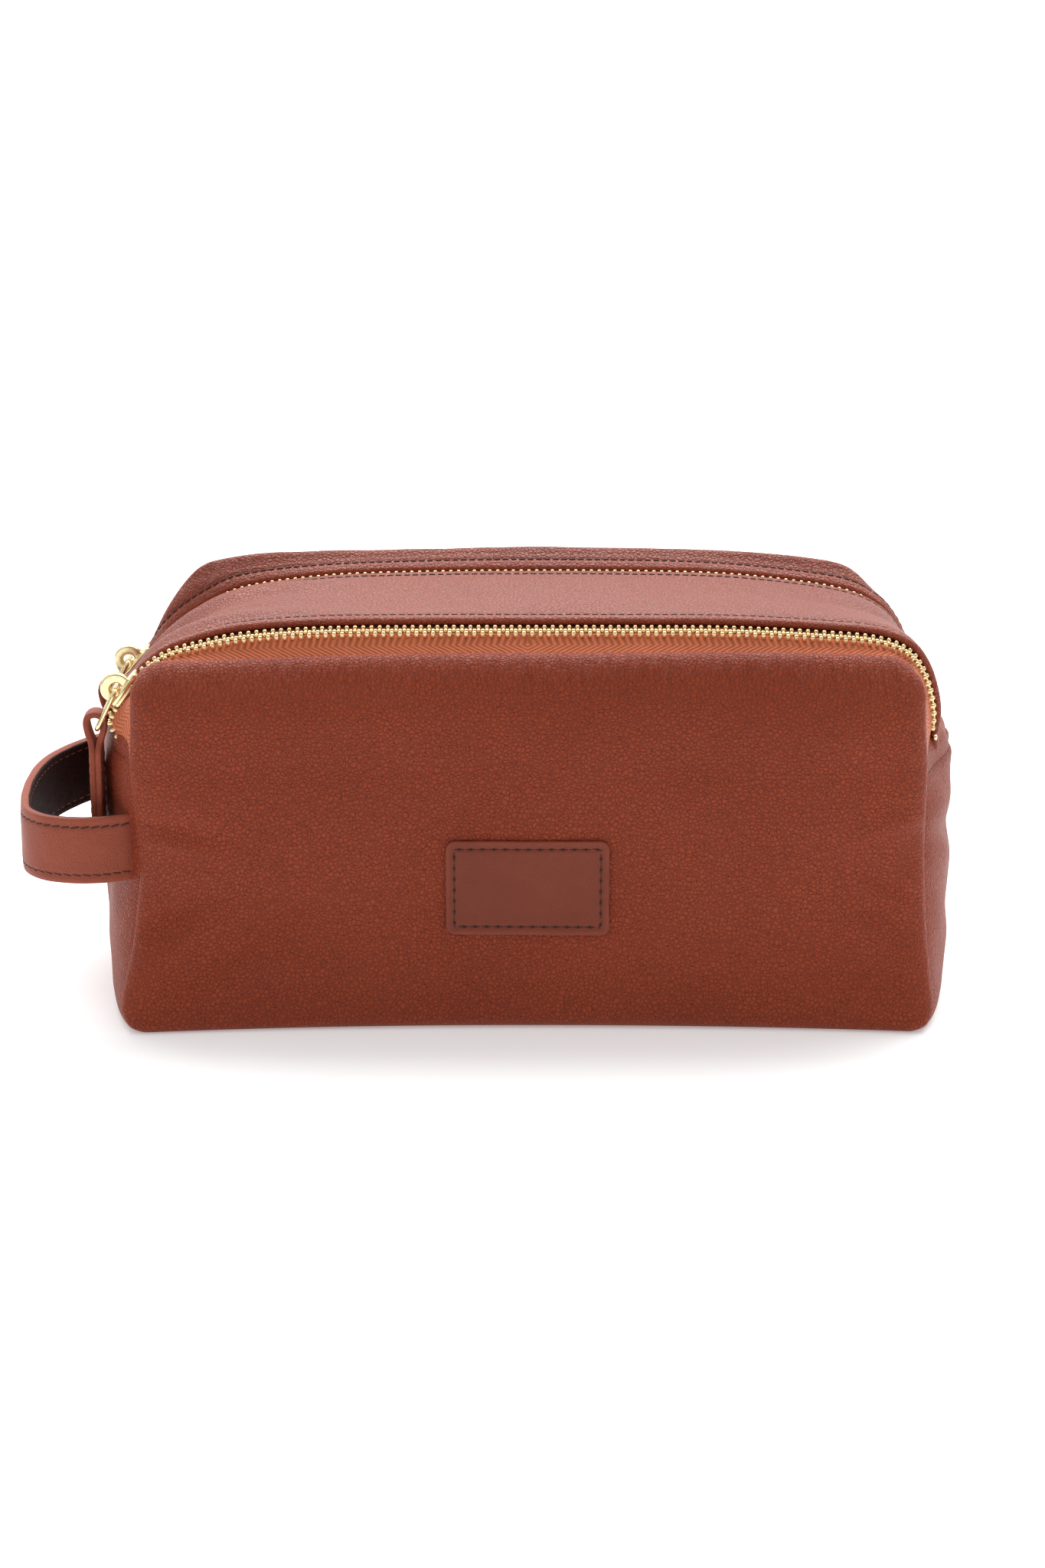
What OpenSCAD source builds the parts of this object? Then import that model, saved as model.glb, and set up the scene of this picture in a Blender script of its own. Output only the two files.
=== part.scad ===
// Shaving kit bag: a soft leather box with two parallel zips over the top,
// a leather strip between them, gusseted ends and a loop handle at the left.
// +X is right, the front faces -Y, +Z is up. The origin is the centre of the base.

/* [Body] */
// Half width of the front and rear panels at their side seams
panel_half_w = 118.5; // [116:0.5:119]
// How far the end gussets bulge past their seams
gusset_bulge = 10; // [7:0.5:10]
// Height of the fold line where each mouth flap turns
fold_z = 80; // [79.5:0.1:80]
// Thickness of the outer leather
leather_t = 1.6; // [1:0.1:1.6]
// Thickness of the lining fabric
lining_t = 0.6; // [0.4:0.1:0.8]

/* [Zips] */
// Distance of each zip from the middle of the bag
zip_y = 32; // [31.8:0.1:32.2]
// Distance from the zip's centre line to the edge of the leather strip
strip_gap = 5.2; // [5:0.1:6]
// Half height of a row of teeth
tooth_h = 1; // [0.8:0.05:1]
// Width of a row of teeth on its own tape
tooth_w = 1.5; // [1.2:0.1:1.6]

/* [Sliders] */
// Length of a slider body
slider_l = 11.4; // [10:0.2:11.6]
// Width of a slider body at its nose
slider_w = 8.8; // [7.6:0.2:8.8]
// Outer radius of the arch that holds the pull
bail_r = 4.5; // [4:0.1:4.6]
// Radius of the hole in the arch
bail_hole_r = 1.7; // [1.6:0.1:1.8]
// Distance between the two cross bars of the pull ring
ring_l = 13.3; // [13.3:0.1:13.3]
// Radius of the ring's wire
wire_r = 0.75; // [0.6:0.05:0.75]
// Length of a leather pull tab below its ring
tab_l = 33; // [25:1:33]

/* [Handle] */
// Height of the handle strap
handle_h = 20; // [16:1:22]
// Height of the middle of the handle above the base
handle_z = 54; // [50:1:56]

/* [Label] */
// Width of the blank leather patch
label_w = 48.5; // [40:0.5:52]
// Height of the blank leather patch
label_h = 30.5; // [24:0.5:32]
// Corner radius of the patch
label_r = 2.6; // [1:0.2:4]

/* [Hidden] */
$fn = 48;

// colours
c_leather = [0.50, 0.26, 0.19];
c_dark = [0.17, 0.07, 0.05];
c_tape = [0.66, 0.30, 0.18];
c_gold = [0.86, 0.72, 0.42];
c_lining = [0.55, 0.47, 0.38];

// line of the front zip, as x and z, from the left end to the right end
front_line = [[-123.6, 81], [-124.0, 86.5], [-123.1, 91.9], [-120.8, 95], [-118.4, 98.2], [-116, 101.4],
              [-113.7, 104.5], [-108, 108.9], [-100, 112.3], [-86, 115.8], [-62, 117.6], [-30, 118],
              [0, 118], [30, 118], [60, 117.8], [88, 116.4], [104, 114.8], [113.5, 111.5],
              [118.4, 105.5], [121, 98], [122.2, 89.5], [122.6, 81]];
// edge of the front leather beyond the zip tape, as x, y and z
front_edge = [[-118.6, -48, 81.2], [-118.7, -46.9, 86.5], [-118.6, -45.8, 92], [-118.6, -45, 95],
              [-118.5, -44.2, 98.5], [-117.8, -43.3, 101.8], [-115.5, -42.2, 105.2],
              [-110.5, -41, 108.8], [-102, -40.2, 110.6], [-88, -39.8, 111.6], [-62, -39.6, 112.6],
              [-30, -39.5, 113], [0, -39.5, 113], [30, -39.5, 113], [60, -39.5, 112.9],
              [88, -39.7, 112], [103.5, -40.3, 111], [112, -41.4, 108.2], [116.8, -43, 103.4],
              [118.6, -44.6, 97.6], [118.8, -46.4, 89.5], [118.6, -48, 81.2]];
// line of the rear zip
rear_line = [[-125.4, 81], [-125.7, 82.4], [-125, 84.3], [-123.2, 86.3], [-121.4, 88.2], [-119.3, 90.4],
             [-117.3, 92.6], [-111, 99.8], [-100.7, 107.4], [-88, 113.2], [-62, 116.8], [-30, 118],
             [0, 118.3], [30, 118.2], [60, 117.4], [84, 115], [100, 112], [111, 107.6],
             [117, 100.2], [120.6, 92.5], [122, 86.5], [122.4, 81]];
// depth of the front and rear faces below the fold, as height and distance from the middle
face = [[1.8, 48.2], [4, 49.8], [9, 51.2], [20, 52.2], [45, 53], [65, 52.8], [74, 52.2], [80, 51.4]];

// where each slider rests: its row of control points is straight there
front_rest = [-118.4, 98.2];
front_tilt = 53.3;
rear_rest = [-121.4, 88.2];
rear_tilt = 47.1;
// centre of the arch's hole, along and above the zip line
bail_at = [-1.4, 3.7];

// smooth curve through a list of points, for s from 0 to 1
function spline(a, b, c, d, t) = 0.5 * (2 * b + (c - a) * t + (2 * a - 5 * b + 4 * c - d) * t * t
                                        + (3 * b - a - 3 * c + d) * t * t * t);
function along(p, s) = let (n = len(p) - 1, i = min(floor(s * n), n - 1), t = s * n - i)
    spline(p[max(i - 1, 0)], p[i], p[i + 1], p[min(i + 2, n)], t);
// outward direction of a zip line, as x and z
function outward(p, s) = let (a = along(p, max(s - 0.006, 0)), b = along(p, min(s + 0.006, 1)), d = b - a)
    [-d[1], d[0]] / norm(d);
// point on a zip line at depth y, raised by h
function zip_point(p, s, y, h) = let (q = along(p, s), n = outward(p, s)) [q[0] + n[0] * h, y, q[1] + n[1] * h];
function mix(a, b, t) = a * (1 - t) + b * t;

// a curved sheet: grid g of points, made solid between the offsets a and b along its own normal
function grid_normal(g, i, j) = let (n = len(g) - 1, m = len(g[0]) - 1,
    v = cross(g[min(i + 1, n)][j] - g[max(i - 1, 0)][j], g[i][min(j + 1, m)] - g[i][max(j - 1, 0)])) v / norm(v);
module sheet(g, a, b) {
    n = len(g); m = len(g[0]);
    outer = [for (i = [0:n - 1]) for (j = [0:m - 1]) g[i][j] + grid_normal(g, i, j) * b];
    inner = [for (i = [0:n - 1]) for (j = [0:m - 1]) g[i][j] + grid_normal(g, i, j) * a];
    k = n * m;
    polyhedron(concat(outer, inner), concat(
        [for (i = [0:n - 2]) for (j = [0:m - 2]) each [[i * m + j, i * m + j + 1, (i + 1) * m + j + 1],
                                                      [i * m + j, (i + 1) * m + j + 1, (i + 1) * m + j]]],
        [for (i = [0:n - 2]) for (j = [0:m - 2]) each [[k + i * m + j, k + (i + 1) * m + j + 1, k + i * m + j + 1],
                                                      [k + i * m + j, k + (i + 1) * m + j, k + (i + 1) * m + j + 1]]],
        [for (i = [0:n - 2]) each [[i * m, (i + 1) * m, k + (i + 1) * m], [i * m, k + (i + 1) * m, k + i * m]]],
        [for (i = [0:n - 2]) each [[i * m + m - 1, k + (i + 1) * m + m - 1, (i + 1) * m + m - 1],
                                   [i * m + m - 1, k + i * m + m - 1, k + (i + 1) * m + m - 1]]],
        [for (j = [0:m - 2]) each [[j, k + j + 1, j + 1], [j, k + j, k + j + 1]]],
        [for (j = [0:m - 2]) each [[(n - 1) * m + j, (n - 1) * m + j + 1, k + (n - 1) * m + j + 1],
                                   [(n - 1) * m + j, k + (n - 1) * m + j + 1, k + (n - 1) * m + j]]]), convexity = 6);
}

// distance of the front or rear face from the middle, at height z and half width x
function face_y(z, x) = lookup(z, face) - 3 * pow(min(abs(x) / panel_half_w, 1), 4);
function panel_grid() = [for (i = [0:20]) let (x = panel_half_w * sin(-90 + 9 * i))
    [for (j = [0:9]) let (z = [1.8, 4, 9, 16, 26, 38, 50, 62, 72, fold_z - 0.3][j]) [x, -face_y(z, x), z]]];

// mouth flap of one side: from the fold up and over to the leather's edge
function front_flap_point(s, v) = let (e = along(front_edge, s), yb = -face_y(fold_z, e[0]), a = 90 * v)
    [e[0], e[1] + (yb - e[1]) * cos(a), fold_z + (e[2] - fold_z) * sin(a)];
function rear_flap_point(s, v) = let (e = zip_point(rear_line, s, zip_y + strip_gap, 1.4),
    xb = e[0] * panel_half_w / 127, yb = face_y(fold_z, xb), a = 90 * v, crest = min(10, (e[2] - fold_z) * 0.28))
    [e[0] + (xb - e[0]) * cos(a), e[1] + (yb - e[1]) * cos(a),
     fold_z + (e[2] - fold_z) * sin(a) + crest * sin(180 * v) * v];
function rows(v0, v1, n) = [for (j = [0:n]) mix(v0, v1, j / n)];
function front_flap_grid(s0, s1, v0, v1) = [for (i = [0:36]) [for (v = rows(v0, v1, 6)) front_flap_point(mix(s0, s1, i / 36), v)]];
function rear_flap_grid(s0, s1, v0, v1) = [for (i = [0:36]) [for (v = rows(v0, v1, 8)) rear_flap_point(mix(s0, s1, i / 36), v)]];

// gap between the two rows of teeth: closed, but spread at the slider and to the left of it
function spread(s) = let (u = (s - 0.27) / 0.06) u >= 1 ? 0.05 : u <= 0 ? 1.3 : mix(1.3, 0.05, u * u * (3 - 2 * u));
zip_steps = 72;
function zip_s(i) = mix(0.006, 0.994, i / zip_steps);
// band beside a zip line between y offsets a and b; side is 1 towards +Y and -1 towards -Y
module zip_band(line, y, side, a, b, h0, h1) {
    sheet([for (i = [0:zip_steps]) let (s = zip_s(i), g = spread(s))
        [zip_point(line, s, y + side * (side > 0 ? a + g : b + g), 0), zip_point(line, s, y + side * (side > 0 ? b + g : a + g), 0)]], h0, h1);
}
module teeth(line, y, side) { zip_band(line, y, side, 0, tooth_w, -tooth_h, tooth_h); }
module tape(line, y, side, w) { zip_band(line, y, side, tooth_w + 0.15, w, -1, -0.4); }

module rounded_plate(w, d, r, t) {
    linear_extrude(t) {
        square([w - 2 * r, d], center = true);
        square([w, d - 2 * r], center = true);
        for (x = [-1, 1]) for (y = [-1, 1]) translate([x * (w / 2 - r), y * (d / 2 - r)]) circle(r);
    }
}

// ---- bag body ----
module front_panel() { color(c_leather) sheet(panel_grid(), -leather_t, 0); }
module rear_panel() { color(c_leather) mirror([0, 1, 0]) sheet(panel_grid(), -leather_t, 0); }
module base_panel() { color(c_leather) rounded_plate(236, 94, 7, leather_t); }
module base_board() { color(c_dark) translate([0, 0, leather_t + 0.2]) rounded_plate(224, 88, 5, 1.2); }

// end gusset: side seams at the panels, bulging between them
function gusset_fill(z) = lookup(z, [[1.8, 0.3], [8, 0.6], [25, 0.95], [55, 1], [80, 0.94]]);
function gusset_grid() = [for (i = [0:16]) let (y = -47.4 + 94.8 * i / 16)
    [for (j = [0:9]) let (z = 1.8 + (fold_z - 0.4 - 1.8) * j / 9)
        [-(116.8 + gusset_bulge * gusset_fill(z) * (1 - pow(abs(y) / 47.4, 2.2))),
         y * min(1, (lookup(z, face) - 1.9) / 50.2), z]]];
module left_gusset() { color(c_leather) sheet([for (i = [16:-1:0]) gusset_grid()[i]], -leather_t, 0); }
module right_gusset() { color(c_leather) mirror([1, 0, 0]) left_gusset(); }

// leather strip between the two zips, over the top and down both ends
module top_strip() {
    color(c_leather) sheet([for (i = [0:48]) let (s = mix(0.004, 0.996, i / 48),
        a = zip_point(front_line, s, -zip_y + strip_gap, 1.2), b = zip_point(rear_line, s, zip_y - strip_gap, 1.2),
        n = outward(front_line, s))
        [for (j = [0:6]) let (w = j / 6, h = 4 * w * (1 - w) * (1 + 2 * abs(n[0]))) mix(a, b, w) + [n[0] * h, 0, n[1] * h]]],
        -1.5, 0);
}
module divider() {
    color(c_lining) translate([0, 0.5, 3.4]) rotate([90, 0, 0]) linear_extrude(1) {
        translate([-104, 0]) square([208, 80]);
        translate([-86, 0]) square([172, 102]);
        for (x = [-1, 1]) translate([x * 86, 80]) circle(18);
        for (x = [-1, 1]) translate([x * 86 - 4, 80]) square([8, 21.8]);
    }
}
// lining of one compartment: an open-topped pouch
module pouch() {
    difference() {
        rounded_plate(222, 44, 6, 74.4);
        translate([0, 0, lining_t]) rounded_plate(222 - 2 * lining_t, 44 - 2 * lining_t, 6 - lining_t, 80);
    }
}
module front_lining() { color(c_lining) translate([0, -23.2, 3.4]) pouch(); }
module rear_lining() { color(c_lining) translate([0, 23.2, 3.4]) pouch(); }

module front_tape_inner() { color(c_tape) tape(front_line, -zip_y, 1, 9); }
module front_teeth_inner() { color(c_gold) teeth(front_line, -zip_y, 1); }
module rear_tape_inner() { color(c_tape) tape(rear_line, zip_y, -1, 9); }
module rear_teeth_inner() { color(c_gold) teeth(rear_line, zip_y, -1); }

// small metal stops below the ends of a zip
module stops(line, y) {
    for (s = [0, 1]) let (p = along(line, s)) translate([p[0] - 1, y - 1.2, p[1] - 0.9]) cube([2, 2.4, 1.2]);
}
module front_zip_stops() { color(c_gold) stops(front_line, -zip_y); }
module rear_zip_stops() { color(c_gold) stops(rear_line, zip_y); }

module label_patch() {
    color([0.46, 0.24, 0.17]) translate([0, -53.2, 44]) rotate([90, 0, 0]) rounded_plate(label_w, label_h, label_r, 1.2);
}

// ---- mouth flaps ----
module front_flap_panel() { color(c_leather) sheet(front_flap_grid(0.19, 0.905, 0.02, 1), -leather_t, 0); }
// flap lining: a strip of fabric behind the leather, its section taken at the middle of the bag
function inside(q, h) = [for (j = [0:len(q) - 1]) let (d = q[min(j + 1, len(q) - 1)] - q[max(j - 1, 0)]) q[j] + [-d[1], d[0]] / norm(d) * h];
module lining_strip(q, side, w) {
    rotate([90, 0, 90]) translate([0, 0, -w / 2]) linear_extrude(w)
        polygon(concat(inside(q, side * 3.2), [for (j = [len(q) - 1:-1:0]) inside(q, side * (3.2 + lining_t))[j]]));
}
module front_flap_lining() {
    color(c_lining) lining_strip([for (v = rows(0.08, 0.86, 8)) let (p = front_flap_point(0.55, v)) [p[1], p[2]]], -1, 160);
}
module front_teeth_outer() { color(c_gold) teeth(front_line, -zip_y, -1); }
module front_tape_outer() {
    color(c_tape) sheet([for (i = [0:zip_steps]) let (s = zip_s(i), g = spread(s), e = along(front_edge, s),
        c = zip_point(front_line, s, -zip_y - tooth_w - 0.15 - g, -0.6), f = mix(e, c, 0.08))
        [f - [0, 0, 0.4], mix(f - [0, 0, 0.4], c, 0.5), c]], -0.3, 0.3);
}
module rear_flap_panel() { color(c_leather) sheet([for (i = [36:-1:0]) rear_flap_grid(0, 1, 0.02, 1)[i]], -leather_t, 0); }
module rear_flap_lining() {
    color(c_lining) lining_strip([for (v = rows(0.08, 0.76, 8)) let (p = rear_flap_point(0.55, v)) [p[1], p[2]]], 1, 96);
}
module rear_teeth_outer() { color(c_gold) teeth(rear_line, zip_y, 1); }
module rear_tape_outer() { color(c_tape) tape(rear_line, zip_y, 1, 3.8); }

// ---- sliders, drawn with the zip line along X and outward along Z ----
module on_slope(at, tilt, y) { translate([at[0], y, at[1]]) rotate([0, -tilt, 0]) children(); }
module slider_plate(t) {
    linear_extrude(t) polygon([[-slider_l / 2, -slider_w / 2 + 1.2], [-slider_l / 2 + 1.2, -slider_w / 2], [-1, -slider_w / 2],
        [slider_l / 2, -slider_w / 2 + 1.3], [slider_l / 2, slider_w / 2 - 1.3], [-1, slider_w / 2],
        [-slider_l / 2 + 1.2, slider_w / 2], [-slider_l / 2, slider_w / 2 - 1.2]]);
}
module slider_body() {
    translate([0, 0, 1.2]) slider_plate(0.9);
    translate([0, 0, -2.3]) slider_plate(0.9);
    // the wedge that parts the two rows of teeth
    translate([-slider_l / 2 + 1.3, 0, -1.5]) cylinder(r = 0.9, h = 3);
    // side lips that hold the rows in
    for (y = [-1, 1]) translate([-slider_l / 2 + 1.4, y * (slider_w / 2 - 0.35) - 0.3, -0.1]) cube([5, 0.6, 1.5]);
}
module slider_bail() {
    difference() {
        translate([bail_at[0], 1.2, bail_at[1]]) rotate([90, 0, 0]) cylinder(r = bail_r, h = 2.4);
        translate([bail_at[0], 2, bail_at[1]]) rotate([90, 0, 0]) cylinder(r = bail_hole_r, h = 4);
        translate([-10, -3, -5]) cube([20, 6, 7.1]);
    }
}
// pull ring: two cross bars and two side bars of wire, hanging from the arch's hole
module wire(a, b) {
    d = b - a;
    translate(a) rotate([0, acos(d[2] / norm(d)), atan2(d[1], d[0])]) cylinder(r = wire_r, h = norm(d));
}
module pull_ring(top, bar) {
    w = 4.2;
    for (p = [top, bar]) wire([p[0], -w, p[1]], [p[0], w, p[1]]);
    for (y = [-w, w]) {
        wire([top[0], y, top[1]], [bar[0], y, bar[1]]);
        for (p = [top, bar]) translate([p[0], y, p[1]]) sphere(wire_r);
    }
}
// pull tab: leather folded round the ring's lower bar, both layers as one, hanging straight down
module pull_tab(bar, dx) {
    eye = bar + [dx, 1.25];
    translate([eye[0], 3.1, eye[1]]) rotate([90, 0, 0]) difference() {
        cylinder(r = 3.7, h = 6.2);
        translate([0, 0, -1]) cylinder(r = 2.4, h = 8.2);
    }
    difference() {
        translate([eye[0] - 1.6, -3.1, eye[1] - 6]) cube([3.2, 6.2, 3.2]);
        translate([eye[0], 4, eye[1]]) rotate([90, 0, 0]) cylinder(r = 3.3, h = 8);
    }
    translate([eye[0] - 1.6, 0, bar[1] - tab_l]) rotate([90, 0, 90]) linear_extrude(3.2) {
        translate([-5, 4]) square([10, tab_l - 8.5]);
        translate([-1, 0]) square([2, 5]);
        for (y = [-1, 1]) translate([y, 4]) circle(4);
    }
}
function top_of(at, tilt) = at + [bail_at[0] * cos(tilt) - bail_at[1] * sin(tilt), bail_at[0] * sin(tilt) + bail_at[1] * cos(tilt)];
// direction in which each ring hangs; the rear one lies a little flatter over its slider
ring_dir = 244.2;
rear_ring_dir = 239;
front_top = top_of(front_rest, front_tilt);
front_bar = front_top + ring_l * [cos(ring_dir), sin(ring_dir)];
rear_top = top_of(rear_rest, rear_tilt);
rear_bar = rear_top + ring_l * [cos(rear_ring_dir), sin(rear_ring_dir)];

module front_slider_body() { color(c_gold) on_slope(front_rest, front_tilt, -zip_y) slider_body(); }
module front_slider_bail() { color(c_gold) on_slope(front_rest, front_tilt, -zip_y) slider_bail(); }
module front_pull_ring() { color(c_gold) translate([0, -zip_y, 0]) pull_ring(front_top, front_bar); }
module front_pull_tab() { color(c_leather) translate([0, -zip_y, 0]) pull_tab(front_bar, -1); }
module rear_slider_body() { color(c_gold) on_slope(rear_rest, rear_tilt, zip_y) slider_body(); }
module rear_slider_bail() { color(c_gold) on_slope(rear_rest, rear_tilt, zip_y) slider_bail(); }
module rear_pull_ring() { color(c_gold) translate([0, zip_y, 0]) pull_ring(rear_top, rear_bar); }
module rear_pull_tab() { color(c_leather) translate([0, zip_y, 0]) pull_tab(rear_bar, 0.5); }

// ---- handle: a loop strap standing on edge, seen from above as these x and y points ----
handle_line = [[-123, -47.6], [-130, -47.2], [-138, -46.2], [-146, -43.4], [-151.5, -37.6], [-154, -28],
               [-155, -13], [-154, 3], [-150.5, 17], [-144, 28.5], [-135.5, 38], [-128.5, 44.4], [-123, 48.4]];
function handle_grid() = [for (i = [0:40]) let (p = along(handle_line, i / 40))
    [for (z = [handle_z - handle_h / 2, handle_z, handle_z + handle_h / 2]) [p[0], p[1], z]]];
module handle_strap() { color(c_leather) sheet([for (i = [40:-1:0]) handle_grid()[i]], 0.1, 1.7); }
module handle_backing() { color(c_dark) sheet([for (i = [40:-1:0]) handle_grid()[i]], -1.5, -0.1); }

front_panel();
rear_panel();
base_panel();
base_board();
left_gusset();
right_gusset();
top_strip();
divider();
front_lining();
rear_lining();
front_tape_inner();
front_teeth_inner();
rear_tape_inner();
rear_teeth_inner();
front_zip_stops();
rear_zip_stops();
label_patch();
front_flap_panel();
front_flap_lining();
front_tape_outer();
front_teeth_outer();
rear_flap_panel();
rear_flap_lining();
rear_tape_outer();
rear_teeth_outer();
front_slider_body();
front_slider_bail();
front_pull_ring();
front_pull_tab();
rear_slider_body();
rear_slider_bail();
rear_pull_ring();
rear_pull_tab();
handle_strap();
handle_backing();
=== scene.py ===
import math
import bpy
import numpy as np
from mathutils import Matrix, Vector


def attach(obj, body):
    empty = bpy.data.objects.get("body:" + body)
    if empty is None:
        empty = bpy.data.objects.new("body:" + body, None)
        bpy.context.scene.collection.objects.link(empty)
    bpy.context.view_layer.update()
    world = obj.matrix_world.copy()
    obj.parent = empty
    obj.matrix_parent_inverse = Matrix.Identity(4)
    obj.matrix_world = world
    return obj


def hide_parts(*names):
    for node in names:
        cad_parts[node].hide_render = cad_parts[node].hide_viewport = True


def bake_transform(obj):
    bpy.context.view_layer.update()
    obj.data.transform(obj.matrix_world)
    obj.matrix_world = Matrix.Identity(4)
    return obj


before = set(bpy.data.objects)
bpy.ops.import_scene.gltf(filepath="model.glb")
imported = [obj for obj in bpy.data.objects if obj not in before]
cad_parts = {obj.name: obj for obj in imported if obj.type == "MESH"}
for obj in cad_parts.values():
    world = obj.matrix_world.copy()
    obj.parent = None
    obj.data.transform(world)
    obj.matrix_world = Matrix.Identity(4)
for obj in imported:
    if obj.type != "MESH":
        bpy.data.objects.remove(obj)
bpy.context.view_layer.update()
MM = 0.001
RAD = math.pi / 180
scene = bpy.context.scene
coll = scene.collection

# ---------------------------------------------------------------- camera, light, floor
cam_data = bpy.data.cameras.new("camera")
cam = bpy.data.objects.new("camera", cam_data)
coll.objects.link(cam)
cam_data.lens, cam_data.sensor_width = 85, 36
ELEV = 18.0
axis_point = Vector((-0.0015, -0.032, 0.0693))
view_dir = Vector((0, math.cos(ELEV * RAD), -math.sin(ELEV * RAD)))
cam.location = axis_point - view_dir * 1.109
cam.rotation_euler = view_dir.to_track_quat("-Z", "Y").to_euler()
cam_data.clip_start, cam_data.clip_end = 0.01, 50
scene.camera = cam
scene.view_settings.view_transform = "Standard"

world = bpy.data.worlds.new("studio")
scene.world = world
world.use_nodes = True
bg = world.node_tree.nodes["Background"]
bg.inputs[0].default_value = (1.0, 1.0, 1.0, 1)
# the studio is bright behind and above the object and darker in front of it
w_co = world.node_tree.nodes.new("ShaderNodeTexCoord")
w_sep = world.node_tree.nodes.new("ShaderNodeSeparateXYZ")
w_map = world.node_tree.nodes.new("ShaderNodeMapRange")
w_map.interpolation_type = "SMOOTHSTEP"
for i, v in ((1, -0.35), (2, 0.45), (3, 0.30), (4, 1.12)):
    w_map.inputs[i].default_value = v
world.node_tree.links.new(w_co.outputs["Generated"], w_sep.inputs[0])
world.node_tree.links.new(w_sep.outputs[1], w_map.inputs[0])
world.node_tree.links.new(w_map.outputs[0], bg.inputs[1])


def area(name, loc, target, size, size_y, power, colour=(1, 1, 1)):
    d = bpy.data.lights.new(name, "AREA")
    d.shape, d.size, d.size_y, d.energy, d.color = "RECTANGLE", size, size_y, power, colour
    o = bpy.data.objects.new(name, d)
    coll.objects.link(o)
    o.location = loc
    o.rotation_euler = (Vector(target) - Vector(loc)).to_track_quat("-Z", "Y").to_euler()
    return o


area("key_top_back", (0.05, 0.62, 1.08), (0, 0.0, 0.0), 1.8, 0.8, 21)
area("top_front", (0.0, -0.62, 1.22), (0, -0.28, 0), 1.7, 0.8, 2.6)
area("front_left", (-1.1, -1.1, 0.8), (0, 0, 0.06), 0.9, 0.9, 2.6)
area("front_right", (1.3, -0.9, 0.6), (0, 0, 0.06), 0.6, 0.9, 1.4)

# ---------------------------------------------------------------- numeric helpers


def cr(p, s):
    p = np.asarray(p, float)
    n = len(p) - 1
    q = np.clip(np.asarray(s, float), 0, 1) * n
    i = np.minimum(np.floor(q).astype(int), n - 1)
    t = (q - i)[:, None]
    a, b, c, d = p[np.maximum(i - 1, 0)], p[i], p[i + 1], p[np.minimum(i + 2, n)]
    return 0.5 * (2 * b + (c - a) * t + (2 * a - 5 * b + 4 * c - d) * t**2 + (3 * b - a - 3 * c + d) * t**3)


class Path:
    """A polyline that can be read at any length along it."""

    def __init__(self, pts):
        self.p = np.asarray(pts, float)
        self.l = np.concatenate([[0], np.cumsum(np.linalg.norm(np.diff(self.p, axis=0), axis=1))])
        self.length = self.l[-1]

    def at(self, l):
        l = np.asarray(l, float)
        return np.stack([np.interp(l, self.l, self.p[:, k]) for k in range(self.p.shape[1])], -1)

    def tangent(self, l, h=0.7):
        d = self.at(np.clip(np.asarray(l) + h, 0, self.length)) - self.at(np.clip(np.asarray(l) - h, 0, self.length))
        return d / np.linalg.norm(d, axis=-1, keepdims=True)


def smooth(x, a, b):
    t = np.clip((np.asarray(x, float) - a) / (b - a), 0, 1)
    return t * t * (3 - 2 * t)


def waves(x, y, scale, seed, n=14):
    """Smooth repeatable noise between about -1 and 1."""
    r = np.random.RandomState(seed)
    out = 0
    for _ in range(n):
        a, f, ph = r.uniform(0, 2 * np.pi), r.uniform(0.6, 1.5) / scale, r.uniform(0, 2 * np.pi)
        out = out + np.sin(2 * np.pi * f * (np.cos(a) * x + np.sin(a) * y) + ph)
    return out / math.sqrt(n) * 0.9


def normals(g):
    du = np.gradient(g, axis=0)
    dv = np.gradient(g, axis=1)
    n = np.cross(du, dv)
    return n / np.maximum(np.linalg.norm(n, axis=-1, keepdims=True), 1e-9)


def mk(name, verts, faces, uv=None, attrs=None, mat=None):
    """Mesh object from millimetre vertices."""
    me = bpy.data.meshes.new(name)
    me.from_pydata((np.asarray(verts) * MM).tolist(), [], faces if isinstance(faces, list) else faces.tolist())
    me.polygons.foreach_set("use_smooth", np.ones(len(me.polygons), bool))
    if uv is not None:
        idx = np.zeros(len(me.loops), int)
        me.loops.foreach_get("vertex_index", idx)
        layer = me.uv_layers.new(name="UVMap")
        layer.data.foreach_set("uv", np.asarray(uv, np.float32)[idx].ravel())
    for k, v in (attrs or {}).items():
        a = me.attributes.new(k, "FLOAT", "POINT")
        a.data.foreach_set("value", np.asarray(v, np.float32))
    me.update()
    o = bpy.data.objects.new(name, me)
    coll.objects.link(o)
    if mat:
        me.materials.append(mat)
    return o


def grid_faces(n, m, base=0):
    i, j = np.meshgrid(np.arange(n - 1), np.arange(m - 1), indexing="ij")
    a = base + i * m + j
    return np.stack([a, a + m, a + m + 1, a + 1], -1).reshape(-1, 4)


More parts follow.
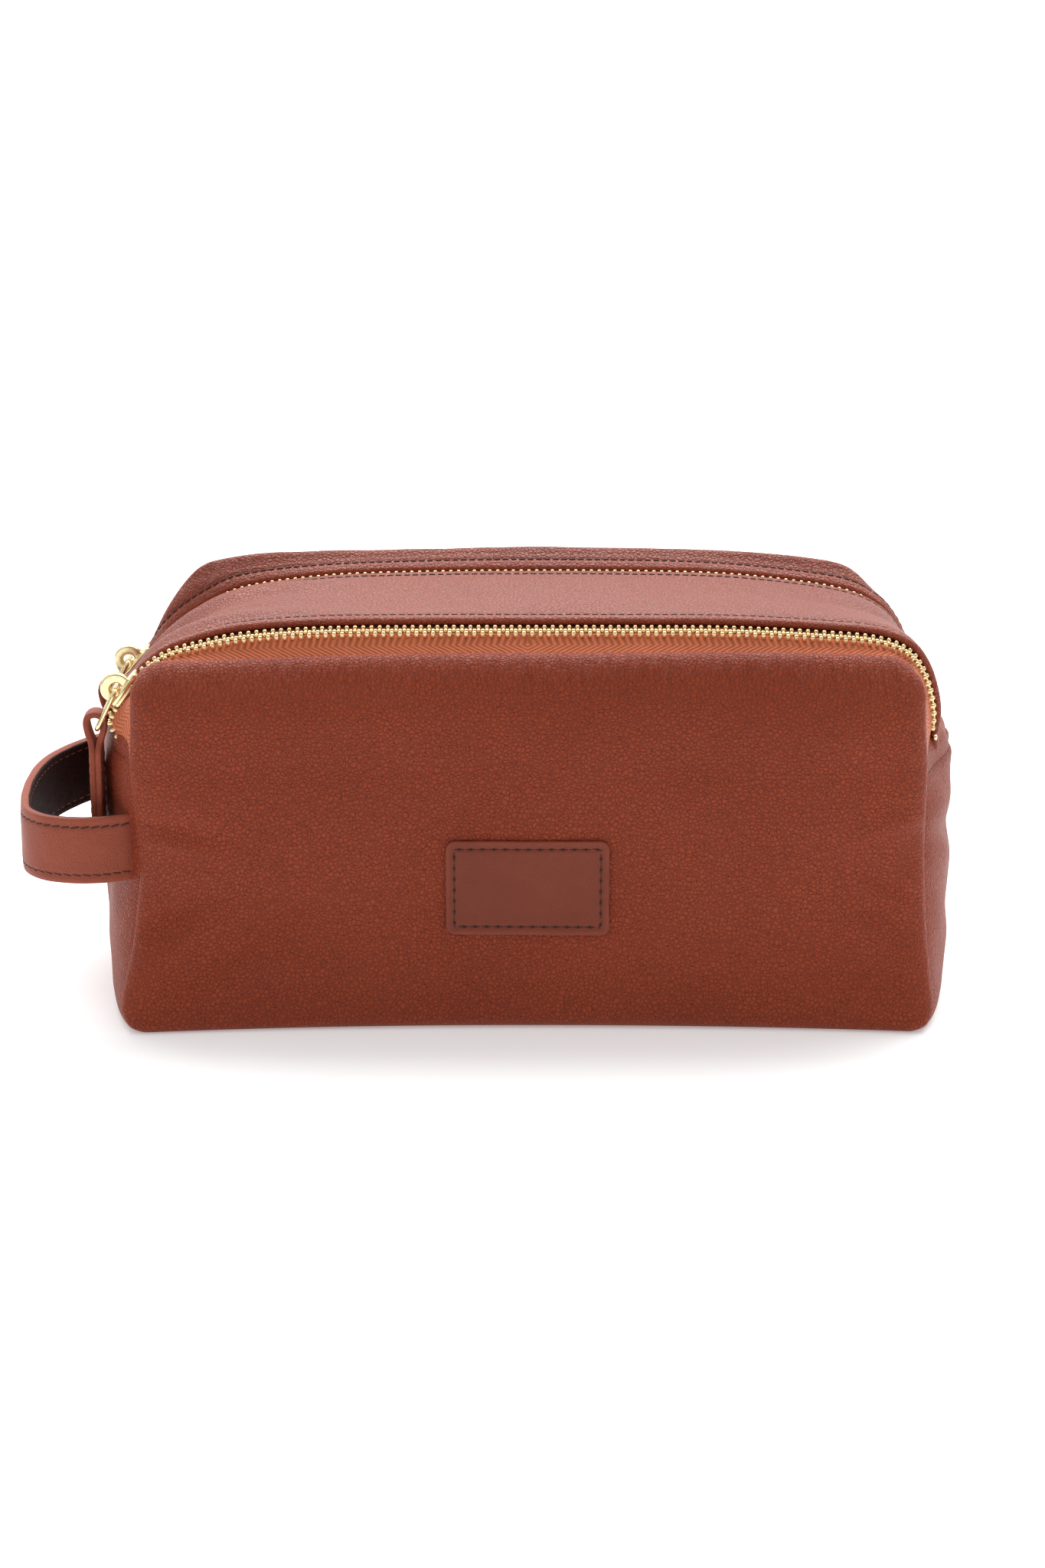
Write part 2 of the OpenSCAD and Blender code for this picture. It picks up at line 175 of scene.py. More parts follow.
def shell(name, g, t, mat, flip=False, uv=None, edge_w=4.0, rim=5, sides=None, rim_out=1.0):
    """Closed leather or cloth sheet with rounded edges. g is its outer surface, n by m by 3."""
    n, m = g.shape[:2]
    nn = normals(g) * (-1 if flip else 1)
    outer = g.reshape(-1, 3)
    inner = (g - nn * t).reshape(-1, 3)
    loop = [i * m for i in range(n)] + [(n - 1) * m + j for j in range(1, m)] + [i * m + m - 1 for i in range(n - 2, -1, -1)] + [j for j in range(m - 2, 0, -1)]
    loop = np.array(loop)
    lp = outer[loop]
    ln = nn.reshape(-1, 3)[loop]
    tan = np.roll(lp, -1, 0) - np.roll(lp, 1, 0)
    tan /= np.maximum(np.linalg.norm(tan, axis=1, keepdims=True), 1e-9)
    out = np.cross(tan, ln) * (-1 if flip else 1)
    out /= np.maximum(np.linalg.norm(out, axis=1, keepdims=True), 1e-9)
    centre = lp - ln * t / 2
    verts = [outer, inner]
    base = 2 * n * m
    k = len(loop)
    rings = []
    for r in range(1, rim + 1):
        a = math.pi * r / (rim + 1)
        verts.append(centre + t / 2 * (math.cos(a) * ln + rim_out * math.sin(a) * out))
        rings.append(base + (r - 1) * k + np.arange(k))
    seq = [loop] + rings + [loop + n * m]
    fo = grid_faces(n, m)
    fi = grid_faces(n, m, n * m)[:, ::-1]
    faces = [fo, fi]
    for a, b in zip(seq[:-1], seq[1:]):
        faces.append(np.stack([a, b, np.roll(b, -1), np.roll(a, -1)], -1))
    faces = np.concatenate(faces)
    if flip:
        faces = faces[:, ::-1]
    verts = np.concatenate(verts)
    du = np.zeros((n, m))
    # distance from the nearest edge, for wear
    li = np.cumsum(np.concatenate([np.zeros((1, m)), np.linalg.norm(np.diff(g, axis=0), axis=2)]), 0)
    lj = np.cumsum(np.concatenate([np.zeros((n, 1)), np.linalg.norm(np.diff(g, axis=1), axis=2)], 1), 1)
    sd = sides or (1, 1, 1, 1)
    big = 1e3
    du = np.minimum.reduce([li + (0 if sd[0] else big), (li[-1:] - li) + (0 if sd[1] else big), lj + (0 if sd[2] else big), (lj[:, -1:] - lj) + (0 if sd[3] else big)])
    e = np.clip(1 - du / edge_w, 0, 1).ravel()
    attrs = {"edge": np.concatenate([e, e] + [np.maximum(e[loop], 0.9)] * rim)}
    uvs = None
    if uv is not None:
        u = uv.reshape(-1, 2)
        uvs = np.concatenate([u, u] + [u[loop]] * rim)
    return mk(name, verts, faces, uvs, attrs, mat)


def tube(name, pts, r, mat, closed=True, sides=14):
    p = np.asarray(pts, float)
    n = len(p)
    if closed:
        tan = np.roll(p, -1, 0) - np.roll(p, 1, 0)
    else:
        tan = np.gradient(p, axis=0)
    tan /= np.linalg.norm(tan, axis=1, keepdims=True)
    ref = np.array([0, 1, 0.0]) if abs(tan[0][1]) < 0.9 else np.array([1.0, 0, 0])
    frames, x = [], np.cross(tan[0], ref)
    for t in tan:
        x = x - t * np.dot(x, t)
        x /= np.linalg.norm(x)
        frames.append((x, np.cross(t, x)))
    a = np.linspace(0, 2 * np.pi, sides, endpoint=False)
    rings = np.array([p[i] + r * (np.cos(a)[:, None] * f[0] + np.sin(a)[:, None] * f[1]) for i, f in enumerate(frames)])
    verts = rings.reshape(-1, 3)
    faces = []
    for i in range(n if closed else n - 1):
        k = (i + 1) % n
        for j in range(sides):
            l = (j + 1) % sides
            faces.append([i * sides + j, k * sides + j, k * sides + l, i * sides + l])
    if closed:
        # the frame may have turned on the way round, so the last ring is matched to the first
        d = np.linalg.norm(rings[0][None, :, :] - rings[-1][0][None, None, :], axis=2)[0]
        sh = int(np.argmin(d))
        faces = faces[: (n - 1) * sides]
        for j in range(sides):
            l = (j + 1) % sides
            faces.append([(n - 1) * sides + j, (j + sh) % sides, (l + sh) % sides, (n - 1) * sides + l])
    else:
        faces.append(list(range(sides)))
        faces.append(list(range((n - 1) * sides, n * sides))[::-1])
    faces = [f[::-1] for f in faces]
    return mk(name, verts, faces, None, None, mat)


def batch(name, items, mat, uv=None):
    """One mesh from many small ones: items are (vertices, faces)."""
    vs, fs, b = [], [], 0
    for v, f in items:
        vs.append(v)
        fs.extend([[x + b for x in q] for q in f])
        b += len(v)
    return mk(name, np.concatenate(vs), fs, uv, None, mat)


def capsule(seg=8, rings=3):
    """Unit capsule along x, from -1 to 1, radius 1 in y and z."""
    prof = [(-1.0, 0.0)] + [(-1 + 0.38 * (1 - math.cos(a)), math.sin(a)) for a in np.linspace(0.5, math.pi / 2, rings)]
    prof += [(-x, r) for x, r in prof[::-1]]
    v, f = [[prof[0][0], 0, 0]], []
    for x, r in prof[1:-1]:
        for k in range(seg):
            a = 2 * math.pi * k / seg
            v.append([x, r * math.cos(a), r * math.sin(a)])
    v.append([prof[-1][0], 0, 0])
    m = len(prof) - 2
    for k in range(seg):
        f.append([0, 1 + (k + 1) % seg, 1 + k])
        for i in range(m - 1):
            a, b = 1 + i * seg, 1 + (i + 1) * seg
            f.append([a + k, a + (k + 1) % seg, b + (k + 1) % seg, b + k])
        f.append([len(v) - 1, 1 + (m - 1) * seg + k, 1 + (m - 1) * seg + (k + 1) % seg])
    return np.array(v), f


CAP = capsule()


def stitches(name, pts, nrm, pitch, length, r, mat, lift=0.05, slant=0.0):
    """A row of thread stitches along a line of points with surface normals."""
    path, npath = Path(pts), Path(pts)
    count = max(1, int(path.length / pitch))
    step = path.length / count
    items = []
    nn = np.asarray(nrm, float)
    for k in range(count):
        l = (k + 0.5) * step
        p = path.at([l])[0]
        t = path.tangent([l], 0.5)[0]
        n = np.array([np.interp(l, npath.l, nn[:, c]) for c in range(3)])
        n = n - t * np.dot(n, t)
        n /= np.linalg.norm(n)
        b = np.cross(n, t)
        if slant:
            t = t * math.cos(slant) + b * math.sin(slant)
            b = np.cross(n, t)
        v = CAP[0] * np.array([length / 2, r, r * 0.75])
        items.append((p + n * lift + v[:, :1] * t + v[:, 1:2] * b + v[:, 2:] * n, CAP[1]))
    return batch(name, items, mat)


# ---------------------------------------------------------------- materials


class Mat:
    def __init__(self, name):
        self.m = bpy.data.materials.new(name)
        self.m.use_nodes = True
        self.t = self.m.node_tree
        self.b = self.t.nodes["Principled BSDF"]

    def n(self, kind, **kw):
        x = self.t.nodes.new(kind)
        for k, v in kw.items():
            if k == "inputs":
                for i, val in v.items():
                    x.inputs[i].default_value = val
            else:
                setattr(x, k, v)
        return x

    def link(self, a, b):
        self.t.links.new(a, b)
        return b

    def math(self, op, a, b=None, c=None, clamp=False):
        x = self.n("ShaderNodeMath", operation=op, use_clamp=clamp)
        for i, v in enumerate((a, b, c)):
            if v is None:
                continue
            if isinstance(v, (int, float)):
                x.inputs[i].default_value = v
            else:
                self.t.links.new(v, x.inputs[i])
        return x.outputs[0]

    def mix(self, fac, a, b, kind="RGBA", blend="MIX"):
        x = self.n("ShaderNodeMix", data_type=kind, blend_type=blend)
        x.clamp_factor = True
        ia, ib, out = (6, 7, 2) if kind == "RGBA" else (2, 3, 0)
        for i, v in ((0, fac), (ia, a), (ib, b)):
            if isinstance(v, (int, float)):
                x.inputs[i].default_value = v
            elif isinstance(v, tuple):
                x.inputs[i].default_value = (*v, 1) if len(v) == 3 else v
            else:
                self.t.links.new(v, x.inputs[i])
        return x.outputs[out]

    def ramp(self, fac, stops):
        x = self.n("ShaderNodeValToRGB")
        e = x.color_ramp.elements
        while len(e) < len(stops):
            e.new(0.5)
        for el, (p, c) in zip(e, stops):
            el.position = p
            el.color = (c, c, c, 1) if isinstance(c, (int, float)) else (*c, 1)
        self.t.links.new(fac, x.inputs[0])
        return x.outputs[0]

    def bump(self, height, strength, distance, under=None):
        x = self.n("ShaderNodeBump")
        x.inputs["Strength"].default_value = strength
        x.inputs["Distance"].default_value = distance
        self.t.links.new(height, x.inputs["Height"])
        if under is not None:
            self.t.links.new(under, x.inputs["Normal"])
        return x.outputs[0]


def leather(name, base, dark, light, cell=1.25, grain=1.0, rough=0.43, spec=0.3, edge=0.16, crease=0.3, depth=0.7):
    k = Mat(name)
    co = k.n("ShaderNodeTexCoord").outputs["Object"]
    warp = k.n("ShaderNodeTexNoise", inputs={"Scale": 420.0, "Detail": 2.0})
    k.link(co, warp.inputs["Vector"])
    off = k.n("ShaderNodeVectorMath", operation="SCALE")
    k.link(warp.outputs["Color"], off.inputs[0])
    off.inputs["Scale"].default_value = 0.0011
    wc = k.n("ShaderNodeVectorMath", operation="ADD")
    k.link(co, wc.inputs[0])
    k.link(off.outputs[0], wc.inputs[1])
    vor = k.n("ShaderNodeTexVoronoi", feature="DISTANCE_TO_EDGE", inputs={"Scale": 1000.0 / cell, "Randomness": 1.0})
    k.link(wc.outputs[0], vor.inputs["Vector"])
    vor2 = k.n("ShaderNodeTexVoronoi", feature="F1", inputs={"Scale": 1000.0 / (cell * 1.02), "Randomness": 1.0})
    k.link(wc.outputs[0], vor2.inputs["Vector"])
    pebble = k.ramp(vor.outputs["Distance"], [(0.0, 0.0), (0.11, 0.62), (0.42, 1.0)])
    fine = k.n("ShaderNodeTexNoise", inputs={"Scale": 2600.0, "Detail": 3.0, "Roughness": 0.6})
    k.link(co, fine.inputs["Vector"])
    mid = k.n("ShaderNodeTexNoise", inputs={"Scale": 95.0, "Detail": 3.0, "Roughness": 0.55})
    k.link(co, mid.inputs["Vector"])
    big = k.n("ShaderNodeTexNoise", inputs={"Scale": 17.0, "Detail": 2.0})
    k.link(co, big.inputs["Vector"])
    # pores: small pits where the pebbles meet; they shape the bump and, together with the valleys, are given painted
    # shade in the colour
    pore = k.n("ShaderNodeTexVoronoi", feature="F1", inputs={"Scale": 1000.0 / (cell * 1.05), "Randomness": 0.85})
    k.link(wc.outputs[0], pore.inputs["Vector"])
    pit = k.ramp(pore.outputs["Distance"], [(0.0, 0.0), (0.14, 0.2), (0.36, 1.0)])
    relief = k.math("MULTIPLY", pebble, k.math("ADD", k.math("MULTIPLY", mid.outputs[0], 0.7), 0.6))
    height = k.math("ADD", k.math("MULTIPLY", relief, 0.8), k.math("ADD", k.math("MULTIPLY", pit, 0.45), k.math("MULTIPLY", fine.outputs[0], 0.22)))
    tone = k.ramp(k.math("ADD", k.math("MULTIPLY", big.outputs[0], 0.6), k.math("MULTIPLY", mid.outputs[0], 0.4)), [(0.36, 0.0), (0.64, 1.0)])
    col = k.mix(tone, dark, light)
    col = k.mix(0.5, col, base)
    # painted shade: the colour is darkened towards dark * 0.22 in the grain's valleys and pores, with strength set by
    # depth
    painted_valley_shade = k.math("SUBTRACT", 1.0, k.math("MULTIPLY", k.math("ADD", k.math("MULTIPLY", pebble, 0.6), 0.4), k.math("ADD", k.math("MULTIPLY", pit, 0.6), 0.4)), clamp=True)
    col = k.mix(k.math("MULTIPLY", painted_valley_shade, depth), col, tuple(x * 0.22 for x in dark))
    at = k.n("ShaderNodeAttribute", attribute_name="edge")
    worn = k.math("MULTIPLY", k.math("MULTIPLY", at.outputs["Fac"], at.outputs["Fac"]), k.math("MULTIPLY", mid.outputs[0], 2 * edge), clamp=True)
    col = k.mix(worn, col, tuple(min(1, x * 1.35 + 0.01) for x in light))
    k.link(col, k.b.inputs["Base Color"])
    r = k.math("ADD", k.math("MULTIPLY", fine.outputs[0], 0.16), k.math("ADD", k.math("MULTIPLY", pebble, -0.07), rough))
    r = k.math("ADD", r, k.math("MULTIPLY", big.outputs[0], 0.08))
    k.link(r, k.b.inputs["Roughness"])
    k.b.inputs["Specular IOR Level"].default_value = spec
    k.b.inputs["Sheen Weight"].default_value = 0.03
    k.b.inputs["Sheen Roughness"].default_value = 0.5
    cre = k.n("ShaderNodeTexNoise", inputs={"Scale": 60.0, "Detail": 5.0, "Roughness": 0.62, "Distortion": 0.6})
    k.link(co, cre.inputs["Vector"])
    b1 = k.bump(cre.outputs[0], crease, 0.0012)
    b2 = k.bump(height, grain, 0.0003, b1)
    k.link(b2, k.b.inputs["Normal"])
    return k.m


def gold(name, base=(0.86, 0.67, 0.36), rough=0.2):
    k = Mat(name)
    co = k.n("ShaderNodeTexCoord").outputs["Object"]
    a = k.n("ShaderNodeTexNoise", inputs={"Scale": 900.0, "Detail": 3.0})
    k.link(co, a.inputs["Vector"])
    sc = k.n("ShaderNodeMapping")
    sc.inputs["Scale"].default_value = (900, 260, 3200)
    k.link(co, sc.inputs["Vector"])
    s = k.n("ShaderNodeTexNoise", inputs={"Scale": 1.0, "Detail": 2.0})
    k.link(sc.outputs[0], s.inputs["Vector"])
    col = k.mix(k.ramp(a.outputs[0], [(0.35, 0.0), (0.7, 1.0)]), tuple(x * 0.9 for x in base), tuple(min(1, x * 1.06) for x in base))
    k.link(col, k.b.inputs["Base Color"])
    k.link(k.math("ADD", k.math("MULTIPLY", s.outputs[0], 0.16), rough - 0.06), k.b.inputs["Roughness"])
    k.b.inputs["Metallic"].default_value = 1.0
    k.link(k.bump(s.outputs[0], 0.12, 0.00005), k.b.inputs["Normal"])
    return k.m


def tape_mat(name, base, dark, band=2.9, rib=1.05):
    """Herringbone weave. UV is in millimetres: u along the tape, v across it."""
    k = Mat(name)
    co = k.n("ShaderNodeTexCoord").outputs["Object"]
    sep = k.n("ShaderNodeSeparateXYZ")
    k.link(co, sep.inputs[0])
    u = k.math("MULTIPLY", k.math("SUBTRACT", k.math("ABSOLUTE", sep.outputs[0]), sep.outputs[2]), 1000.0)
    v = k.math("MULTIPLY", k.math("SUBTRACT", k.math("MULTIPLY", k.math("ABSOLUTE", sep.outputs[1]), 0.86), k.math("MULTIPLY", sep.outputs[2], 0.5)), 1000.0)
    uv = k.n("ShaderNodeCombineXYZ")
    k.link(u, uv.inputs[0])
    k.link(v, uv.inputs[1])
    uv = uv.outputs[0]
    zig = k.math("PINGPONG", v, band)
    ph = k.math("MULTIPLY", k.math("ADD", u, k.math("MULTIPLY", zig, 1.05)), 2 * math.pi / rib)
    ribs = k.math("ADD", k.math("MULTIPLY", k.math("SINE", ph), 0.5), 0.5)
    yarn = k.math("ADD", k.math("MULTIPLY", k.math("SINE", k.math("MULTIPLY", k.math("SUBTRACT", v, k.math("MULTIPLY", u, 0.25)), 2 * math.pi / 0.42)), 0.5), 0.5)
    fib = k.n("ShaderNodeTexNoise", inputs={"Scale": 5.0, "Detail": 4.0, "Roughness": 0.7})
    k.link(uv, fib.inputs["Vector"])
    h = k.math("ADD", k.math("MULTIPLY", ribs, 0.8), k.math("ADD", k.math("MULTIPLY", yarn, 0.1), k.math("MULTIPLY", fib.outputs[0], 0.25)))
    big = k.n("ShaderNodeTexNoise", inputs={"Scale": 0.06, "Detail": 2.0})
    k.link(uv, big.inputs["Vector"])
    col = k.mix(k.math("MULTIPLY", h, 0.95, clamp=True), dark, base)
    col = k.mix(k.math("MULTIPLY", big.outputs[0], 0.35), col, tuple(min(1, x * 1.2) for x in base))
    k.link(col, k.b.inputs["Base Color"])
    k.b.inputs["Sheen Weight"].default_value = 0.12
    k.b.inputs["Sheen Roughness"].default_value = 0.4
    k.b.inputs["Specular IOR Level"].default_value = 0.25
    k.link(k.math("ADD", k.math("MULTIPLY", fib.outputs[0], 0.2), 0.62), k.b.inputs["Roughness"])
    k.link(k.bump(h, 0.8, 0.00022), k.b.inputs["Normal"])
    return k.m


def cloth_mat(name, base, dark, pitch=0.55):
    k = Mat(name)
    co = k.n("ShaderNodeTexCoord").outputs["Object"]
    sep = k.n("ShaderNodeSeparateXYZ")
    k.link(co, sep.inputs[0])
    f = 2 * math.pi / (pitch * MM)
    xs = k.math("SINE", k.math("MULTIPLY", k.math("ADD", sep.outputs[0], sep.outputs[1]), f))
    zs = k.math("SINE", k.math("MULTIPLY", k.math("ADD", sep.outputs[2], k.math("MULTIPLY", sep.outputs[1], 0.5)), f))
    w = k.math("ADD", k.math("MULTIPLY", k.math("MULTIPLY", xs, zs), 0.5), 0.5)
    nz = k.n("ShaderNodeTexNoise", inputs={"Scale": 60.0, "Detail": 4.0})
    k.link(co, nz.inputs["Vector"])
    col = k.mix(k.math("ADD", k.math("MULTIPLY", w, 0.5), k.math("MULTIPLY", nz.outputs[0], 0.4)), dark, base)
    k.link(col, k.b.inputs["Base Color"])
    k.link(k.math("ADD", k.math("MULTIPLY", nz.outputs[0], 0.2), 0.7), k.b.inputs["Roughness"])
    k.b.inputs["Sheen Weight"].default_value = 0.2
    k.link(k.bump(w, 0.5, 0.0001), k.b.inputs["Normal"])
    return k.m


def thread_mat(name, base):
    k = Mat(name)
    co = k.n("ShaderNodeTexCoord").outputs["Object"]
    nz = k.n("ShaderNodeTexNoise", inputs={"Scale": 2500.0, "Detail": 3.0})
    k.link(co, nz.inputs["Vector"])
    mp = k.n("ShaderNodeTexWave", inputs={"Scale": 1400.0, "Distortion": 2.0})
    mp.bands_direction = "DIAGONAL"
    k.link(co, mp.inputs["Vector"])
    k.link(k.mix(mp.outputs["Fac"], tuple(x * 0.6 for x in base), base), k.b.inputs["Base Color"])
    k.link(k.math("ADD", k.math("MULTIPLY", nz.outputs[0], 0.25), 0.5), k.b.inputs["Roughness"])
    k.link(k.bump(mp.outputs["Fac"], 0.5, 0.00008), k.b.inputs["Normal"])
    return k.m


M_leather = leather("leather_cognac", (0.300, 0.038, 0.006), (0.255, 0.029, 0.004), (0.350, 0.050, 0.012))
M_top = leather("leather_top", (0.300, 0.042, 0.010), (0.255, 0.033, 0.007), (0.350, 0.054, 0.016), rough=0.36, spec=0.5, crease=0.45)
M_patch = leather("leather_patch", (0.195, 0.036, 0.015), (0.170, 0.030, 0.012), (0.220, 0.043, 0.019), cell=0.8, grain=0.22, rough=0.5, edge=0.3, crease=0.12, depth=0.15)
M_strap = leather("leather_strap", (0.300, 0.060, 0.028), (0.250, 0.046, 0.020), (0.350, 0.078, 0.038), cell=0.8, grain=0.5, depth=0.3)
M_back = leather("leather_backing", (0.022, 0.005, 0.004), (0.014, 0.003, 0.002), (0.034, 0.009, 0.007), cell=0.8, grain=0.8, rough=0.55, spec=0.06, edge=0.1)
M_gold = gold("gold_polished", (0.90, 0.75, 0.44), 0.2)
M_teeth = gold("gold_teeth", (0.84, 0.63, 0.34), 0.3)
M_tape = tape_mat("tape_herringbone", (0.64, 0.17, 0.068), (0.20, 0.036, 0.012), band=3.2, rib=2.0)
M_lining = cloth_mat("lining_weave", (0.36, 0.26, 0.17), (0.24, 0.16, 0.10))
M_thread = thread_mat("thread_brown", (0.075, 0.013, 0.005))
# painted shade: near-black material for the blobs that stand for the shade inside the patch's stitch holes
M_hole_shade = thread_mat("painted_hole_shade", (0.016, 0.004, 0.002))
M_thread_l = thread_mat("thread_tan", (0.30, 0.11, 0.065))
M_board = cloth_mat("board_fibre", (0.09, 0.07, 0.055), (0.05, 0.04, 0.03), 0.9)

# ---------------------------------------------------------------- the bag's lines, in millimetres
front_line = [(-123.6, 81), (-124.0, 86.5), (-123.1, 91.9), (-120.8, 95), (-118.4, 98.2), (-116, 101.4),
              (-113.7, 104.5), (-108, 108.9), (-100, 112.3), (-86, 115.8), (-62, 117.6), (-30, 118),
              (0, 118), (30, 118), (60, 117.8), (88, 116.4), (104, 114.8), (113.5, 111.5),
              (118.4, 105.5), (121, 98), (122.2, 89.5), (122.6, 81)]
rear_line = [(-125.4, 81), (-125.7, 82.4), (-125, 84.3), (-123.2, 86.3), (-121.4, 88.2), (-119.3, 90.4),
             (-117.3, 92.6), (-111, 99.8), (-100.7, 107.4), (-88, 113.2), (-62, 116.8), (-30, 118),
             (0, 118.3), (30, 118.2), (60, 117.4), (84, 115), (100, 112), (111, 107.6),
             (117, 100.2), (120.6, 92.5), (122, 86.5), (122.4, 81)]
ZY = 32.0
dense = np.linspace(0, 1, 1600)
front_line[:4] = [(-118.8, 80.5), (-122.2, 84.8), (-124.5, 89.6), (-122.1, 94.6)]
front_line[-5:] = [(113.2, 111.2), (118.0, 105.4), (120.8, 98), (122.0, 90.5), (121.4, 83.4)]
rear_line[-5:] = [(109.6, 107.2), (115.3, 100.4), (118.8, 92.8), (120.6, 86.5), (120.4, 81.4)]
FP = Path(cr(front_line, dense))
RP = Path(cr(rear_line, dense))


def out2(path, l, h=2.0):
    t = path.tangent(l, h)
    return np.stack([-t[..., 1], t[..., 0]], -1)


def zpt(path, l, y, h):
    """Points on a zip line at depth y raised by h along its outward direction."""
    q = path.at(l)
    n = out2(path, l)
    h = np.asarray(h, float)
    return np.stack([q[..., 0] + n[..., 0] * h, np.broadcast_to(y, q[..., 0].shape), q[..., 1] + n[..., 1] * h], -1)


# half width of the front and rear panels at height z; the left end is pulled in more
def half_w(z, right):
    zl = [0, 10, 25, 45, 62, 80, 90, 130]
    wl = [121.4, 120.9, 117.6, 115.2, 116.2, 117.4, 116.9, 116.9]
    wr = [121.6, 120.8, 119.2, 118.0, 117.6, 117.9, 117.2, 116.6]
    a = np.interp(z, zl, wl)
    b = np.interp(z, zl, wr)
    return np.where(right, b, a)


FACE_Z = [0, 4, 9, 20, 34, 48, 62, 72, 80]
FACE_Y = [52.6, 52.7, 52.8, 53.0, 53.2, 53.2, 52.9, 52.3, 51.4]


def flare(A, z):
    """How far the soft lower edge of the front settles forward, most at the two corners."""
    return (4.6 + np.where(A < 0, 5.4, 4.2) * np.abs(A) ** 2.2) * (1 - smooth(z, -12, 42)) * 1.12


def smooth_interp(x, xp, fp):
    xs = np.linspace(xp[0], xp[-1], 400)
    ys = np.interp(xs, xp, fp)
    ker = np.hanning(41)
    ker /= ker.sum()
    ys = np.convolve(np.pad(ys, 20, mode="edge"), ker, "valid")
    return np.interp(x, xs, ys)


def corner(p, q):
    """Square corner to round corner: both run 0 to 1 towards the corner."""
    return p * np.sqrt(1 - q * q / 2), q * np.sqrt(1 - p * p / 2)


def panel_surface(side, n=361, crest=None, top_y=39.5, edge_top=None, radius=(9.5, 11.0), seed=3):
    """Front or rear panel surface: from under the base, up the face and over to its top edge. The argument side is not
    used.
    """
    a = np.sin(np.linspace(-90, 90, n) * RAD) * 0.35 + np.linspace(-1, 1, n) * 0.65
    rows_under, rows_curl, rows_face, rows_roll = 4, 9, 70, 46
    m = rows_under + rows_curl + rows_face + rows_roll
    A = np.repeat(a[:, None], m, 1)
    right = A > 0
    X0 = A * 118.6
    r = 3.0 + 1.6 * np.cos(np.clip(A, -1, 1) * math.pi / 2) ** 0.8  # softer lower edge in the middle
    rec = 0.4 * np.cos(A * math.pi / 2) ** 1.2
    y = np.zeros_like(A)
    z = np.zeros_like(A)
    j = 0
    yb = np.interp(r, FACE_Z, FACE_Y) - rec
    for k in range(rows_under):
        y[:, j] = (yb - r)[:, j] - 9 * (1 - k / rows_under)
        z[:, j] = 0.12
        j += 1
    for k in range(rows_curl):
        f = 90 * RAD * k / rows_curl
        y[:, j] = (yb - r)[:, j] + r[:, j] * math.sin(f)
        z[:, j] = 0.12 + (r[:, j]) * (1 - math.cos(f))
        j += 1
    for k in range(rows_face):
        f = k / (rows_face - 1)
        zz = (r[:, j] + 0.12) * (1 - f) + 80 * f
        z[:, j] = zz
        y[:, j] = smooth_interp(zz, FACE_Z, FACE_Y) - rec[:, j] * (1 - smooth(zz, 6, 42))
        j += 1
    top = np.interp(X0[:, 0], [-119, -100, -84, -60, -30, 0, 60, 88, 104, 119], [109.0, 109.8, 110.5, 111.5, 112.2, 112.4, 112.6, 112.2, 111.6, 110.6])
    top = np.convolve(np.pad(top, 10, mode="edge"), np.ones(21) / 21, "valid")
    for k in range(rows_roll):
        f = 90 * RAD * (k + 1) / rows_roll
        z[:, j] = 80 + (top - 80) * math.sin(f)
        y[:, j] = top_y + (51.4 - top_y) * math.cos(f)
        if crest is not None:
            v = (k + 1) / rows_roll
            z[:, j] += crest(X0[:, 0]) * math.sin(math.pi * v) * v
        j += 1
    # width follows the side seams, and the top corners are rounded
    W = half_w(z, right)
    X = A * W
    R = np.where(right, radius[1], radius[0])
    topz = np.repeat(top[:, None], m, 1)
    p = (np.abs(X) - (W - R)) / R
    q = (z - (topz - R)) / R
    inside = (p > 0) & (q > 0)
    pp, qq = corner(np.clip(p, 0, 1), np.clip(q, 0, 1.3))
    X = np.where(inside, np.sign(X) * (W - R + R * pp), X)
    z = np.where(inside, topz - R + R * qq, z)
    # plan curvature and the turned side edge
    y = y - 1.3 * np.abs(A) ** 4 * smooth(z, 0, 40)
    y = y + flare(A, z)
    d = (1 - np.abs(A)) * 118.6
    cur = np.clip((9 - d) / 9, 0, 1) * 0.985
    y = y - 4.2 * (1 - np.sqrt(1 - cur**2)) * (1 - 0.75 * smooth(z, 96, 110))
    # rounded bottom corners, drawn in and up a little where the leather turns into the side seam
    low = np.clip((7 - d) / 7, 0, 1) * np.clip((7 - z) / 7, 0, 1)
    X = X - np.sign(X) * 2.6 * low**1.4
    z = z + 1.2 * low
    return A, X, y, z


def creases(X, Z, y, listed):
    """Pushes y in or out at soft elliptical dents: (x, z, rx, rz, angle, depth)."""
    for cx, cz, rx, rz, ang, dep in listed:
        c, s = math.cos(ang * RAD), math.sin(ang * RAD)
        u = ((X - cx) * c + (Z - cz) * s) / rx
        v = (-(X - cx) * s + (Z - cz) * c) / rz
        y = y - dep * np.exp(-(u * u + v * v))
    return y


# ---------------------------------------------------------------- front leather: one piece, curved over at the fold
A, X, Y, Z = panel_surface(-1)
soft = smooth(Z, 3, 16)
bul = np.cos(A * math.pi / 2)
Y = Y + soft * (0.55 * waves(X, Z, 95, 11) * (1 - 0.4 * smooth(Z, 84, 100)) + 0.22 * waves(X, Z, 34, 12) * (1 - smooth(Z, 90, 106)))
Y = creases(X, Z, Y, [
    (-104, 62, 15, 3.0, -12, 1.0), (-103, 56, 13, 2.4, -8, -0.7), (-107, 34, 17, 3.4, 28, 1.7), (-104, 26, 16, 3.2, 36, -1.1),
    (-112, 44, 9, 14, 10, 1.3), (-96, 18, 22, 5, 32, 1.2), (112, 52, 11, 9, 12, 1.6), (108, 44, 17, 3.2, -28, 1.0),
    (104, 36, 18, 4.5, -34, 1.1), (110, 63, 13, 2.8, 16, -0.7), (98, 20, 24, 6, -24, 0.9), (60, 104, 40, 5, 2, 0.5), (-50, 104, 40, 5, -3, 0.45),
    (20, 14, 60, 5, 2, 0.5), (-40, 12, 40, 4, -3, 0.4)])
